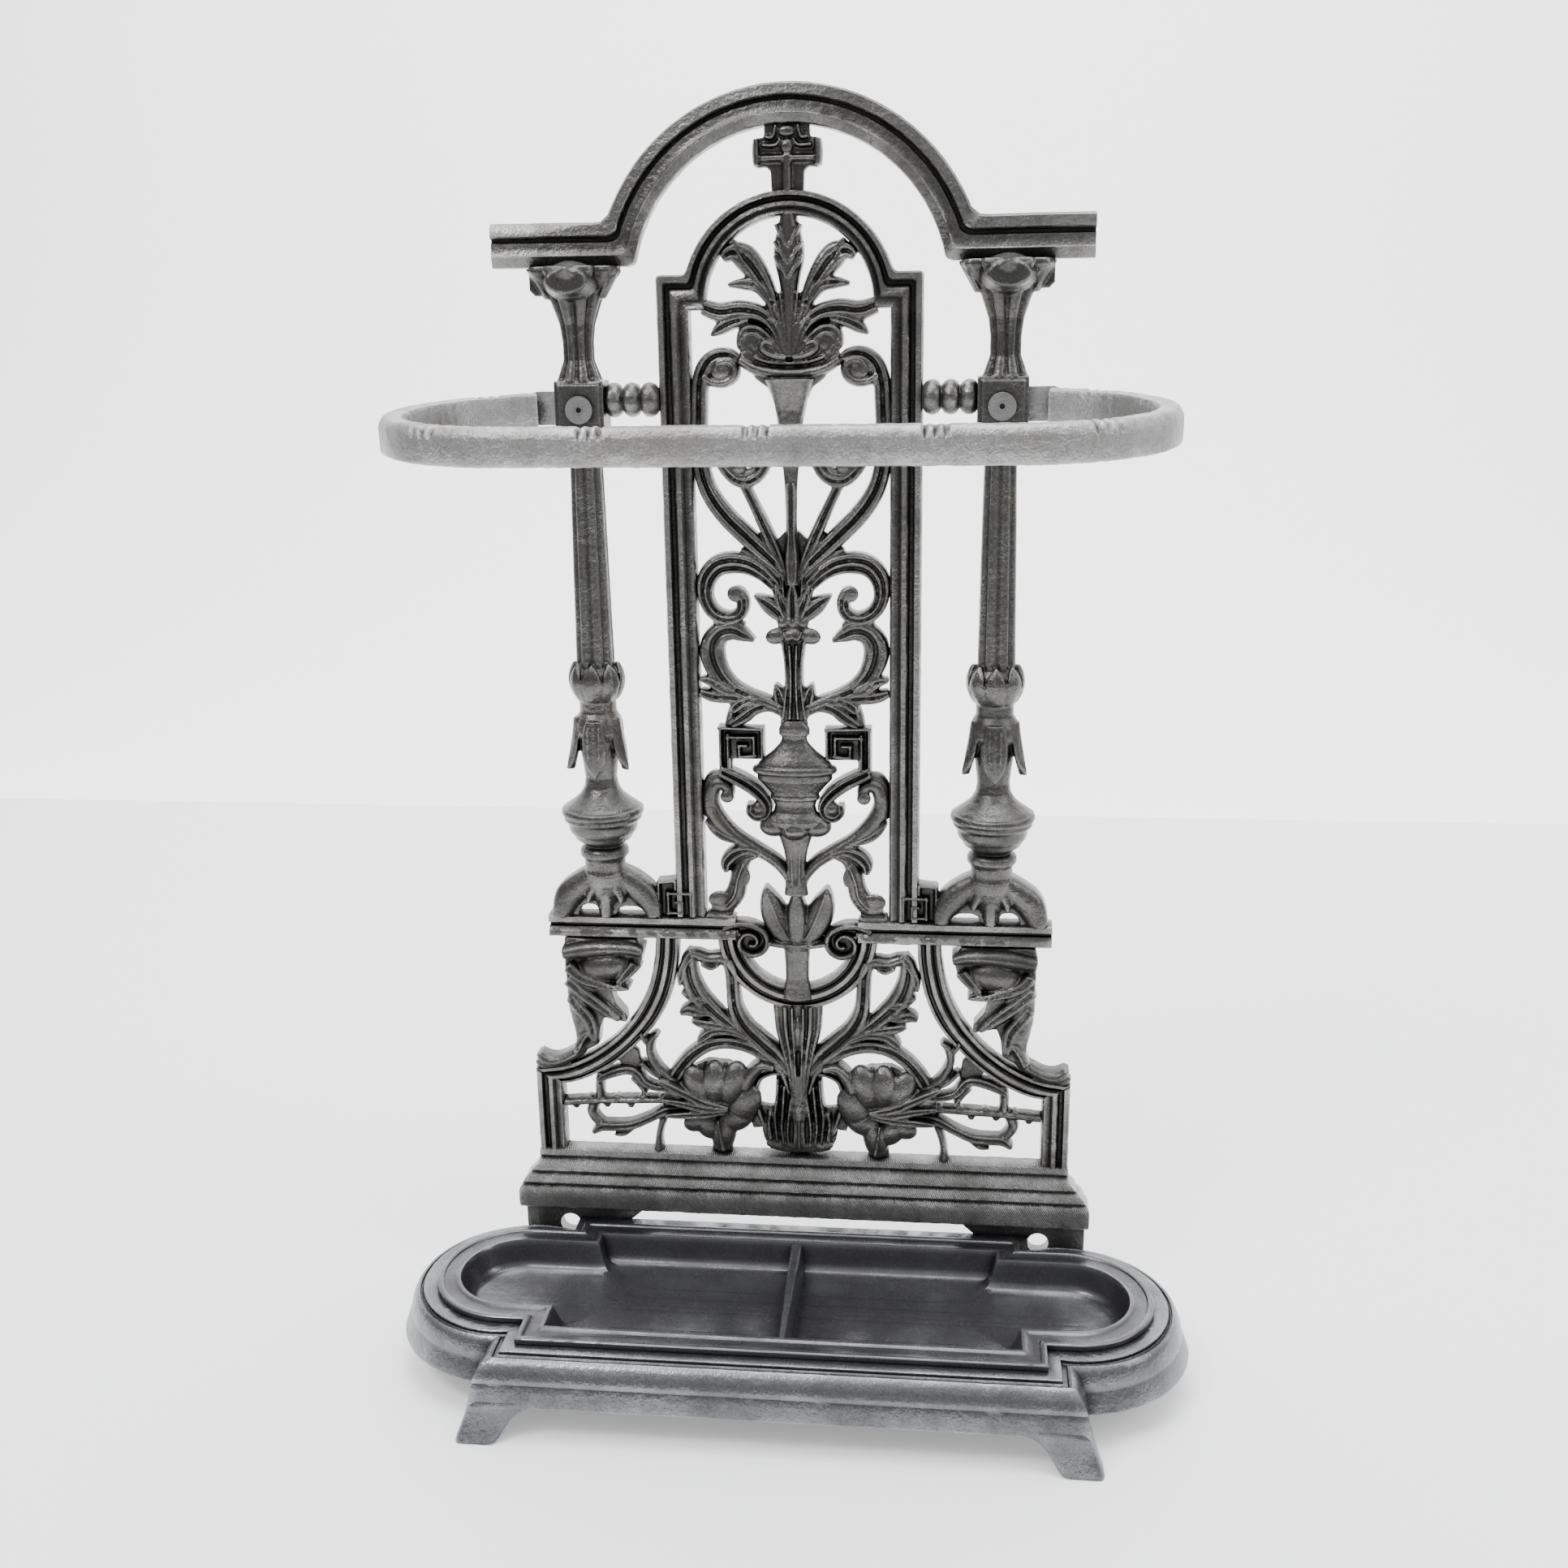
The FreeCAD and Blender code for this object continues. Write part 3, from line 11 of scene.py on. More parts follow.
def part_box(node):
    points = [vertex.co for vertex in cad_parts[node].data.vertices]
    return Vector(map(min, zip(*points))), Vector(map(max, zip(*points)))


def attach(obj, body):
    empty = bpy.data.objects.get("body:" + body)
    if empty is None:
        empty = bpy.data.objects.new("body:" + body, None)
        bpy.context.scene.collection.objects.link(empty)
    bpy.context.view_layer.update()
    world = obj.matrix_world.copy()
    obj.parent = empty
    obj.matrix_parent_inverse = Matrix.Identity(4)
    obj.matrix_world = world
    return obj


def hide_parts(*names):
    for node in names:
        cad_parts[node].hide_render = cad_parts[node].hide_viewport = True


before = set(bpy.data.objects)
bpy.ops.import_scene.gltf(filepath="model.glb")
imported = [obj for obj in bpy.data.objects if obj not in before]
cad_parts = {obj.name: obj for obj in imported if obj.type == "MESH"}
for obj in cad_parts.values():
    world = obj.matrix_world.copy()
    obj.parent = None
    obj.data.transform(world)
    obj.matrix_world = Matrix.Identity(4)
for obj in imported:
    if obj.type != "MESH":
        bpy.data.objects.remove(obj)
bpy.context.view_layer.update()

MM = 0.001
BACK = 9.0                                   # panel thickness, mm
FRONT_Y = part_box("right_post")[1].y - BACK * MM
HOLD = 8.0                                   # depth of the ornament behind the panel's front

# cross-sections: (share of the width, height over the panel's front in mm)
RAIL = [(0, -5), (0.02, 0.6), (0.07, 2.2), (0.30, 3), (0.34, 2.0), (0.36, -0.9), (0.43, -0.9),
        (0.46, 1.2), (0.56, 1.5), (0.71, 2.1), (0.75, 3), (0.79, 2.1), (0.95, 1.2), (0.99, 0.2),
        (1, -5)]
FRAME = [(0, -5), (0.02, 0.8), (0.06, 2.2), (0.22, 2.6), (0.26, 1.4), (0.28, -1.0), (0.37, -1.0),
         (0.41, 0.8), (0.48, 2.3), (0.62, 2.7), (0.68, 1.2), (0.72, 0.2), (0.80, 0.4), (0.92, 1.4),
         (0.98, 0.2), (1, -5)]
SHELF = [(0, -5), (0.03, 1.6), (0.10, 3), (0.32, 3), (0.36, 1.8), (0.39, -1.0), (0.49, -1.0),
         (0.53, 1.2), (0.62, 1.8), (0.70, 2.9), (0.90, 3), (0.97, 1.2), (1, -5)]
BAND = [(0, -5), (0.02, 0.2), (0.08, 1.6), (0.22, 1.8), (0.26, -0.6), (0.32, -0.6), (0.37, 1.2),
        (0.46, 3), (0.62, 3), (0.68, 0.8), (0.73, -0.8), (0.80, -0.8), (0.85, 0.8), (0.95, 1.0),
        (0.99, -0.6), (1, -5)]
SCROLL = [(0, -6), (0.03, -1.6), (0.12, 0.8), (0.28, 1.5), (0.40, 0.4), (0.46, -1.8), (0.54, -1.8),
          (0.60, 0.2), (0.72, 1.4), (0.88, 0.8), (0.97, -1.8), (1, -6)]
DOUBLE = [(0, -6), (0.03, -1.4), (0.1, 0.6), (0.22, 1.3), (0.31, 0.0), (0.35, -1.7), (0.41, -1.7),
          (0.46, 0.4), (0.55, 1.6), (0.64, 0.4), (0.69, -1.6), (0.75, -1.6), (0.81, 0.2),
          (0.9, 1.0), (0.97, -1.6), (1, -6)]
ROUND = [(0, -6), (0.04, -2.6), (0.15, -0.6), (0.3, 0.7), (0.5, 1.2), (0.7, 0.7), (0.85, -0.6),
         (0.96, -2.6), (1, -6)]
LEAF = [(0, -6), (0.03, -2.4), (0.12, 0.2), (0.26, 1.2), (0.38, 0.5), (0.47, -1.5), (0.53, -1.5),
        (0.62, 0.5), (0.74, 1.2), (0.88, 0.2), (0.97, -2.4), (1, -6)]

BACK_SHARES = (0, 0.06, 0.3, 0.7, 0.94, 1)   # points across a bar's flat back
STEEPEST = 1.396                             # latitude of a blob's last ring, radians
SWELLS, GRAINS = 260, 620                    # waves per metre of the casting's skin


def smooth_path(points, step=1.3):
    """Points along a smooth curve through (x, z, width) controls."""
    p = np.array(points, float)
    p = np.vstack([2 * p[0] - p[1], p, 2 * p[-1] - p[-2]])
    out = []
    for a, b, c, d in zip(p[:-3], p[1:-2], p[2:-1], p[3:]):
        n = max(2, int(np.linalg.norm((c - b)[:2]) / step))
        for t in np.arange(n) / n:
            out.append(0.5 * (2 * b + (c - a) * t + (2 * a - 5 * b + 4 * c - d) * t ** 2
                              + (3 * b - a - 3 * c + d) * t ** 3))
    out.append(p[-2])
    return np.array(out)


def arc(cx, cz, r, a0, a1, n=40):
    """Points on a circle between two angles in degrees."""
    angles = np.radians(np.linspace(a0, a1, n))
    return [(cx + r * math.cos(a), cz + r * math.sin(a)) for a in angles]


def whole(half):
    """An outline up to the middle, continued by its mirror image."""
    return half[:-1] + [(-x, z) for x, z in reversed(half)]


class Cast:
    """Mesh under construction: x across, v forward of the panel's front, z up, in mm."""

    def __init__(self, full=1.0):
        self.full = full
        self.verts = []
        self.faces = []

    def add(self, verts, faces):
        start = len(self.verts)
        self.verts.extend(verts)
        self.faces.extend([tuple(start + i for i in face) for face in faces])

    def tube(self, rings, caps=True):
        """Skin over rings with equal numbers of points."""
        n = len(rings[0])
        verts = [tuple(point) for ring in rings for point in ring]
        faces = []
        for i in range(len(rings) - 1):
            for j in range(n):
                k = (j + 1) % n
                faces.append((i * n + j, i * n + k, (i + 1) * n + k, (i + 1) * n + j))
        if caps:
            last = (len(rings) - 1) * n
            faces.append(tuple(range(n)))
            faces.append(tuple(last + j for j in reversed(range(n))))
        self.add(verts, faces)

    def bar(self, left, right, section, back=BACK, lift=0.0):
        """Moulded bar between two edges, flat behind."""
        rings = []
        for (lx, lz), (rx, rz) in zip(left, right):
            ring = [(lx + t * (rx - lx), v + lift, lz + t * (rz - lz)) for t, v in section]
            ring += [(rx + t * (lx - rx), -back, rz + t * (lz - rz)) for t in BACK_SHARES]
            rings.append(ring)
        self.tube(rings)

    def ribbon(self, points, section=SCROLL, lift=0.0, back=HOLD):
        """Moulded ribbon of changing width along a smooth curve."""
        path = smooth_path(points)
        step = np.gradient(path[:, :2], axis=0)
        step /= np.linalg.norm(step, axis=1)[:, None] + 1e-9
        side = np.stack([-step[:, 1], step[:, 0]], 1) * path[:, 2:3] * self.full / 2
        self.bar(path[:, :2] + side, path[:, :2] - side, section, back, lift)

    def rod(self, points, lift=0.0):
        """Ribbon with a rounded top."""
        self.ribbon(points, ROUND, lift)

    def leaf(self, points, lift=0.3, section=LEAF):
        """Ribbon with a groove along its middle."""
        self.ribbon(points, section, lift)

    def blob(self, x, z, rx, rz, high, turn=0.0, back=HOLD, n=20):
        """Domed lump with a root behind."""
        rings = []
        for lat in np.radians(np.linspace(-80, 80, 13)):
            spread = math.cos(lat)
            v = high * math.sin(lat) if lat > 0 else back * math.sin(lat) / math.sin(STEEPEST)
            ring = []
            for a in np.linspace(0, 2 * math.pi, n, endpoint=False):
                u, w = rx * spread * math.cos(a), rz * spread * math.sin(a)
                c, s = math.cos(turn), math.sin(turn)
                ring.append((x + u * c - w * s, v, z + u * s + w * c))
            rings.append(ring)
        self.tube(rings)

    def turned(self, cx, profile, squash=1.0, back=BACK, flutes=0, deep=0.0, n=48):
        """Turned body round an upright axis, cut flat behind."""
        rings = []
        for z, r in profile:
            ring = []
            for a in np.linspace(0, 2 * math.pi, n, endpoint=False):
                rr = r
                if flutes:
                    rr -= deep * r * (0.5 + 0.5 * math.cos(flutes * a)) ** 3
                v = -rr * math.sin(a) * squash
                ring.append((cx + rr * math.cos(a), max(v, -back), z))
            rings.append(ring)
        self.tube(rings)

    def prism(self, outline, low, high):
        """Flat plate with a level front."""
        self.tube([[(x, low, z) for x, z in outline], [(x, high, z) for x, z in outline]])

    def mirrored(self):
        """A copy for the other side."""
        other = Cast()
        other.verts = [(-x, v, z) for x, v, z in self.verts]
        other.faces = [tuple(reversed(face)) for face in self.faces]
        return other

    def both(self):
        """This mesh together with its mirror image."""
        other = self.mirrored()
        self.add(other.verts, other.faces)
        return self


def coat(item, material):
    """One material over the whole piece."""
    item.data.materials.clear()
    item.data.materials.append(material)


def make(name, cast, nodes, slot="back_iron", body="stand", voxel=0.0, smooth=2, rough=0.0,
         crease=38.0):
    """Blender object from a cast; a voxel size fuses its lumps into one casting."""
    mesh = bpy.data.meshes.new(name)
    verts = [(x * MM, FRONT_Y - v * MM, z * MM) for x, v, z in cast.verts]
    mesh.from_pydata(verts, [], cast.faces)
    work = bmesh.new()
    work.from_mesh(mesh)
    bmesh.ops.recalc_face_normals(work, faces=work.faces)
    work.to_mesh(mesh)
    work.free()
    item = bpy.data.objects.new(name, mesh)
    bpy.context.scene.collection.objects.link(item)
    if voxel:
        change = item.modifiers.new("fuse", "REMESH")
        change.mode = "VOXEL"
        change.voxel_size = voxel * MM
        change.adaptivity = 0
        soften = item.modifiers.new("soften", "SMOOTH")
        soften.factor = 0.5
        soften.iterations = smooth
        graph = bpy.context.evaluated_depsgraph_get()
        done = bpy.data.meshes.new_from_object(item.evaluated_get(graph))
        item.modifiers.clear()
        item.data = done
        mesh = done
    if rough:
        co = np.empty(len(mesh.vertices) * 3)
        mesh.vertices.foreach_get("co", co)
        no = np.empty(len(mesh.vertices) * 3)
        mesh.vertices.foreach_get("normal", no)
        co = co.reshape(-1, 3)
        bump = np.array([noise.noise(Vector(p) * SWELLS) + 0.5 * noise.noise(Vector(p) * GRAINS)
                         for p in co])
        co += no.reshape(-1, 3) * (bump * rough * MM)[:, None]
        co[:, 2] = np.maximum(co[:, 2], 0)
        mesh.vertices.foreach_set("co", co.ravel())
    mesh.shade_smooth()
    if not voxel:
        mesh.set_sharp_from_angle(angle=math.radians(crease))
    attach(item, body)
    if nodes:
        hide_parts(*nodes)
    coat(item, MATERIALS[slot])
    return item


def pair(name, cast, **options):
    """The piece on the right and its mirror image on the left."""
    make("right_" + name, cast, ["right_" + name], **options)
    make("left_" + name, cast.mirrored(), ["left_" + name], **options)


# ---------------------------------------------------------------- materials
def iron(name, dark, mid, light, rough, grain=1.0, tint=None, hatch=False):
    """Graphite-polished cast iron: grain, painted shade in hollows, edges brightened partly by wear and
    partly by a painted highlight, painted shade in creases.
    """
    mat = bpy.data.materials.new(name)
    mat.use_nodes = True
    tree = mat.node_tree
    tree.nodes.clear()
    link = tree.links.new

    def node(kind, **values):
        n = tree.nodes.new(kind)
        for key, value in values.items():
            if key[0] == "_":
                setattr(n, key[1:], value)
            else:
                n.inputs[key.replace("_", " ")].default_value = value
        return n

    def remap(source, low, high, to_low, to_high):
        change = node("ShaderNodeMapRange", From_Min=low, From_Max=high, To_Min=to_low,
                      To_Max=to_high)
        link(source, change.inputs["Value"])
        return change.outputs["Result"]

    place = node("ShaderNodeTexCoord")
    fine = node("ShaderNodeTexNoise", Scale=900.0, Detail=5.0, Roughness=0.62)
    pits = node("ShaderNodeTexNoise", Scale=300.0, Detail=3.0, Roughness=0.6)
    patch = node("ShaderNodeTexNoise", Scale=38.0, Detail=4.0, Roughness=0.6)
    for n in (fine, pits, patch):
        link(place.outputs["Object"], n.inputs["Vector"])
    ramp = node("ShaderNodeValToRGB")
    ramp.color_ramp.elements[0].position = 0.30
    ramp.color_ramp.elements[0].color = (*dark, 1)
    ramp.color_ramp.elements[1].position = 0.72
    ramp.color_ramp.elements[1].color = (*light, 1)
    middle = ramp.color_ramp.elements.new(0.5)
    middle.color = (*mid, 1)
    blend = node("ShaderNodeMix", _data_type="FLOAT")
    blend.inputs[0].default_value = 0.45
    link(patch.outputs["Fac"], blend.inputs[2])
    link(fine.outputs["Fac"], blend.inputs[3])
    shape = node("ShaderNodeNewGeometry")
    # lighter on convex edges: partly worn polish, partly painted highlight; darker in concave creases:
    # painted shade
    edge_wear_glint_and_crease_shade = remap(shape.outputs["Pointiness"], 0.44, 0.60, -0.22, 0.22)
    sum_up = node("ShaderNodeMath", _operation="ADD")
    link(blend.outputs[0], sum_up.inputs[0])
    link(edge_wear_glint_and_crease_shade, sum_up.inputs[1])
    link(sum_up.outputs[0], ramp.inputs["Fac"])
    # painted shade: ambient occlusion darkens the colour in hollows, creases and between parts
    hollow = node("ShaderNodeAmbientOcclusion", Distance=0.009, _samples=8)
    painted_shade_factor = remap(hollow.outputs["AO"], 0.35, 0.95, 0.22, 1.0)
    shade = node("ShaderNodeMix", _data_type="RGBA", _blend_type="MULTIPLY")
    shade.inputs[0].default_value = 1.0
    link(ramp.outputs["Color"], shade.inputs[6])
    link(painted_shade_factor, shade.inputs[7])
    color = shade.outputs[2]
    if tint:
        rust = node("ShaderNodeTexNoise", Scale=16.0, Detail=3.0, Roughness=0.5)
        link(place.outputs["Object"], rust.inputs["Vector"])
        rusted = remap(rust.outputs["Fac"], 0.58, 0.75, 0.0, 0.5)
        warm = node("ShaderNodeMix", _data_type="RGBA")
        warm.inputs[7].default_value = (*tint, 1)
        link(rusted, warm.inputs[0])
        link(color, warm.inputs[6])
        color = warm.outputs[2]
    shine = remap(patch.outputs["Fac"], 0.3, 0.7, rough + 0.10, rough - 0.08)
    bump_a = node("ShaderNodeBump", Strength=0.8, Distance=0.00016 * grain)
    bump_b = node("ShaderNodeBump", Strength=0.8, Distance=0.00055 * grain)
    link(fine.outputs["Fac"], bump_a.inputs["Height"])
    link(pits.outputs["Fac"], bump_b.inputs["Height"])
    link(bump_a.outputs["Normal"], bump_b.inputs["Normal"])
    normal = bump_b.outputs["Normal"]
    if hatch:
        turn = node("ShaderNodeMapping")
        turn.inputs["Rotation"].default_value = (0.0, math.radians(32), 0.0)
        wave = node("ShaderNodeTexWave", Scale=260.0, Distortion=4.0, Detail=2.0)
        bump_c = node("ShaderNodeBump", Strength=0.5, Distance=0.0006)
        link(place.outputs["Object"], turn.inputs["Vector"])
        link(turn.outputs["Vector"], wave.inputs["Vector"])
        link(wave.outputs["Fac"], bump_c.inputs["Height"])
        link(normal, bump_c.inputs["Normal"])
        normal = bump_c.outputs["Normal"]
    skin = node("ShaderNodeBsdfPrincipled", Metallic=0.85)
    link(color, skin.inputs["Base Color"])
    link(shine, skin.inputs["Roughness"])
    link(normal, skin.inputs["Normal"])
    out = node("ShaderNodeOutputMaterial")
    link(skin.outputs["BSDF"], out.inputs["Surface"])
    return mat


MATERIALS = {
    "back_iron": iron("back_iron", (0.045, 0.044, 0.041), (0.10, 0.098, 0.093),
                      (0.23, 0.226, 0.217), 0.29, grain=1.2, tint=(0.085, 0.073, 0.06)),
    "hoop_iron": iron("hoop_iron", (0.17, 0.168, 0.163), (0.28, 0.277, 0.27), (0.44, 0.44, 0.433),
                      0.42, grain=2.0, tint=(0.17, 0.13, 0.10)),
    "base_iron": iron("base_iron", (0.075, 0.077, 0.081), (0.145, 0.148, 0.155),
                      (0.26, 0.264, 0.275), 0.26, grain=0.8),
    "tray_iron": iron("tray_iron", (0.065, 0.064, 0.067), (0.11, 0.11, 0.116),
                      (0.17, 0.171, 0.18), 0.26, grain=0.12),
    "fastener_steel": iron("fastener_steel", (0.08, 0.08, 0.077), (0.15, 0.15, 0.147),
                           (0.26, 0.26, 0.255), 0.34),
}
PLINTH_IRON = iron("plinth_iron", (0.08, 0.079, 0.076), (0.16, 0.157, 0.152),
                   (0.32, 0.317, 0.31), 0.34, grain=1.3, hatch=True)


# ---------------------------------------------------------------- rails
def top_rail():
    """Arched rail with a level arm at each side."""
    outer = [(172, 688.5), (140, 688.5), (112, 688.2), (108, 688.6), (105.6, 690.4)]
    outer += arc(0, 647.4, 112.6, 23.5, 90, 44)
    inner = [(172, 663.5), (140, 663.5), (98, 663.5), (93.5, 663.5), (90.2, 664.4)]
    inner += arc(0, 647.4, 90.6, 12.0, 90, 44)
    cast = Cast()
    cast.bar(whole(outer), whole(inner), RAIL)
    make("top_rail", cast, ["top_rail"], rough=0.25)


def frame_arch():
    """Arched head of the inner frame, with its square shoulders."""
    outer = [(77, 638), (77, 656.5), (76.4, 658), (75, 658.7), (62, 658.7), (60.3, 659.4)]
    outer += arc(0, 641.2, 62.3, 19, 90, 30)
    inner = [(58, 638), (58, 638.2), (57.9, 638.3), (57.8, 638.4), (49, 638.4), (48.4, 639.6)]
    inner += arc(0, 641.2, 48.3, 1.0, 90, 30)
    cast = Cast()
    cast.bar(whole(outer), whole(inner), FRAME)
    make("frame_arch", cast, ["frame_arch"], rough=0.2)


def straight(points, near, far, section):
    """Bar between two edges given as lists, sampled for the casting's waviness."""
    cast = Cast()
    a, b = np.array(near, float), np.array(far, float)
    t = np.linspace(0, 1, points)[:, None]
    cast.bar(a[0] + t * (a[1] - a[0]), b[0] + t * (b[1] - b[0]), section)
    return cast


def rails():
    """Moulded bars: rail, inner frame, shelves, posts, sweeps and pendant."""
    top_rail()
    frame_arch()
    pair("stile", straight(90, [(77, 268), (77, 638)], [(58, 268), (58, 638)], FRAME), rough=0.25)
    pair("shelf", straight(40, [(39, 268), (160, 268)], [(39, 252), (160, 252)], SHELF), rough=0.25)
    post = straight(24, [(175, 98), (175, 158)], [(157, 98), (157, 149)], FRAME)
    sweep = Cast()
    upper = smooth_path([(91, 258, 0), (92.5, 240, 0), (97, 220, 0), (106, 201, 0), (119, 184.5, 0),
                         (133, 173, 0), (147, 165, 0), (160, 160.5, 0), (175, 158.5, 0)])
    lower = smooth_path([(76, 258, 0), (77, 238, 0), (81.5, 216, 0), (90, 197, 0), (103, 180.5, 0),
                         (119, 165.5, 0), (134, 155.5, 0), (147, 149.5, 0), (158, 147.5, 0)])
    n = 60
    pick = [a[np.linspace(0, len(a) - 1, n).astype(int)][:, :2] for a in (upper, lower)]
    sweep.bar(pick[0], pick[1], BAND, BACK - 0.4, -0.3)
    pair("sweep", sweep, rough=0.2)
    pair("post", post, rough=0.2)
    pendant = Cast()
    outer = [(52, 259), (52, 256)] + arc(0, 257, 51.5, 0, -180, 60) + [(-52, 256), (-52, 259)]
    inner = [(37, 259), (37, 256)] + arc(0, 257, 35.5, 0, -180, 60) + [(-37, 256), (-37, 259)]
    pendant.bar(outer, inner, BAND, BACK - 0.6, -0.45)
    make("pendant", pendant, ["pendant"], rough=0.2)


def plinth():
    """Stepped foot moulding with returned ends."""
    steps = [(101, 0.4, 174), (100.2, 2.6, 175), (96.4, 3.0, 175), (95.6, 2.4, 175), (95, 0.9, 175),
             (94, 0.9, 175), (92.2, 3.0, 175), (90.6, 4.8, 176), (88.4, 6.2, 178.6),
             (86.6, 6.6, 180), (85.8, 5.8, 180.4), (85.2, 4.4, 180.6), (84.2, 4.6, 181),
             (82.6, 6.8, 183), (80.6, 8.2, 185), (78.6, 8.6, 186), (77.8, 7.6, 186.4),
             (77.2, 6.4, 186.4), (76.2, 6.6, 187), (74.8, 8.6, 188.2), (72.6, 9.6, 189),
             (70, 10.0, 189), (66, 10.2, 189), (61.6, 9.8, 188.8), (60.2, 8.6, 188)]
    rings = []
    for z, v, half in steps:
        xs = np.linspace(-half, half, 160)
        rings.append([(x, v, z) for x in xs] + [(x, -BACK, z) for x in reversed(xs)])
    cast = Cast()
    cast.tube(rings)
    coat(make("plinth", cast, ["plinth"], rough=0.3, crease=30), PLINTH_IRON)


def key_blocks():
    """Greek-key block in each corner of the shelf."""
    cast = Cast()
    cast.prism([(66, 262), (97, 262), (97, 284), (89, 285), (89, 291), (76, 293.5), (76, 287),
                (66, 287)], -BACK, -1.6)
    corners = [[(67.4, 268), (67.4, 284.6)], [(66.4, 283.4), (83, 283.4)], [(81.8, 284.6), (81.8, 269.4)],
               [(82.8, 270.4), (72, 270.4)], [(72.8, 269.6), (72.8, 278.6)], [(72, 277.6), (77.6, 277.6)],
               [(87.8, 267), (87.8, 291)], [(88.8, 290.6), (76.2, 291.8)], [(77, 292.6), (77, 286)],
               [(87, 283.6), (96, 283.6)]]
    for a, b in corners:
        cast.rod([(*a, 2.9), (*b, 2.9)], 2.4)
    pair("key_block", cast, voxel=0.6, smooth=1)


# ---------------------------------------------------------------- columns
def petal(cast, cx, a, low, high, r0, r1, r2, wide, thick):
    """Upright leaf on a turned body at angle a, from its foot to its tip."""
    rings = []
    for t in np.linspace(0, 1, 14):
        z = low + (high - low) * t
        r = (1 - t) ** 2 * r0 + 2 * t * (1 - t) * r1 + t * t * r2
        w = wide * math.sin(math.pi * (0.2 + 0.5 * t)) * (1 - t ** 5) + 0.5
        ring = []
        for b in np.linspace(0, 2 * math.pi, 12, endpoint=False):
            u = w * math.cos(b)
            out = r + thick * math.sin(b) * (1 - 0.4 * abs(math.cos(b)))
            ring.append((cx + out * math.cos(a) - u * math.sin(a),
                         max(out * math.sin(a) + u * math.cos(a), -BACK), z))
        rings.append(ring)
    cast.tube(rings)


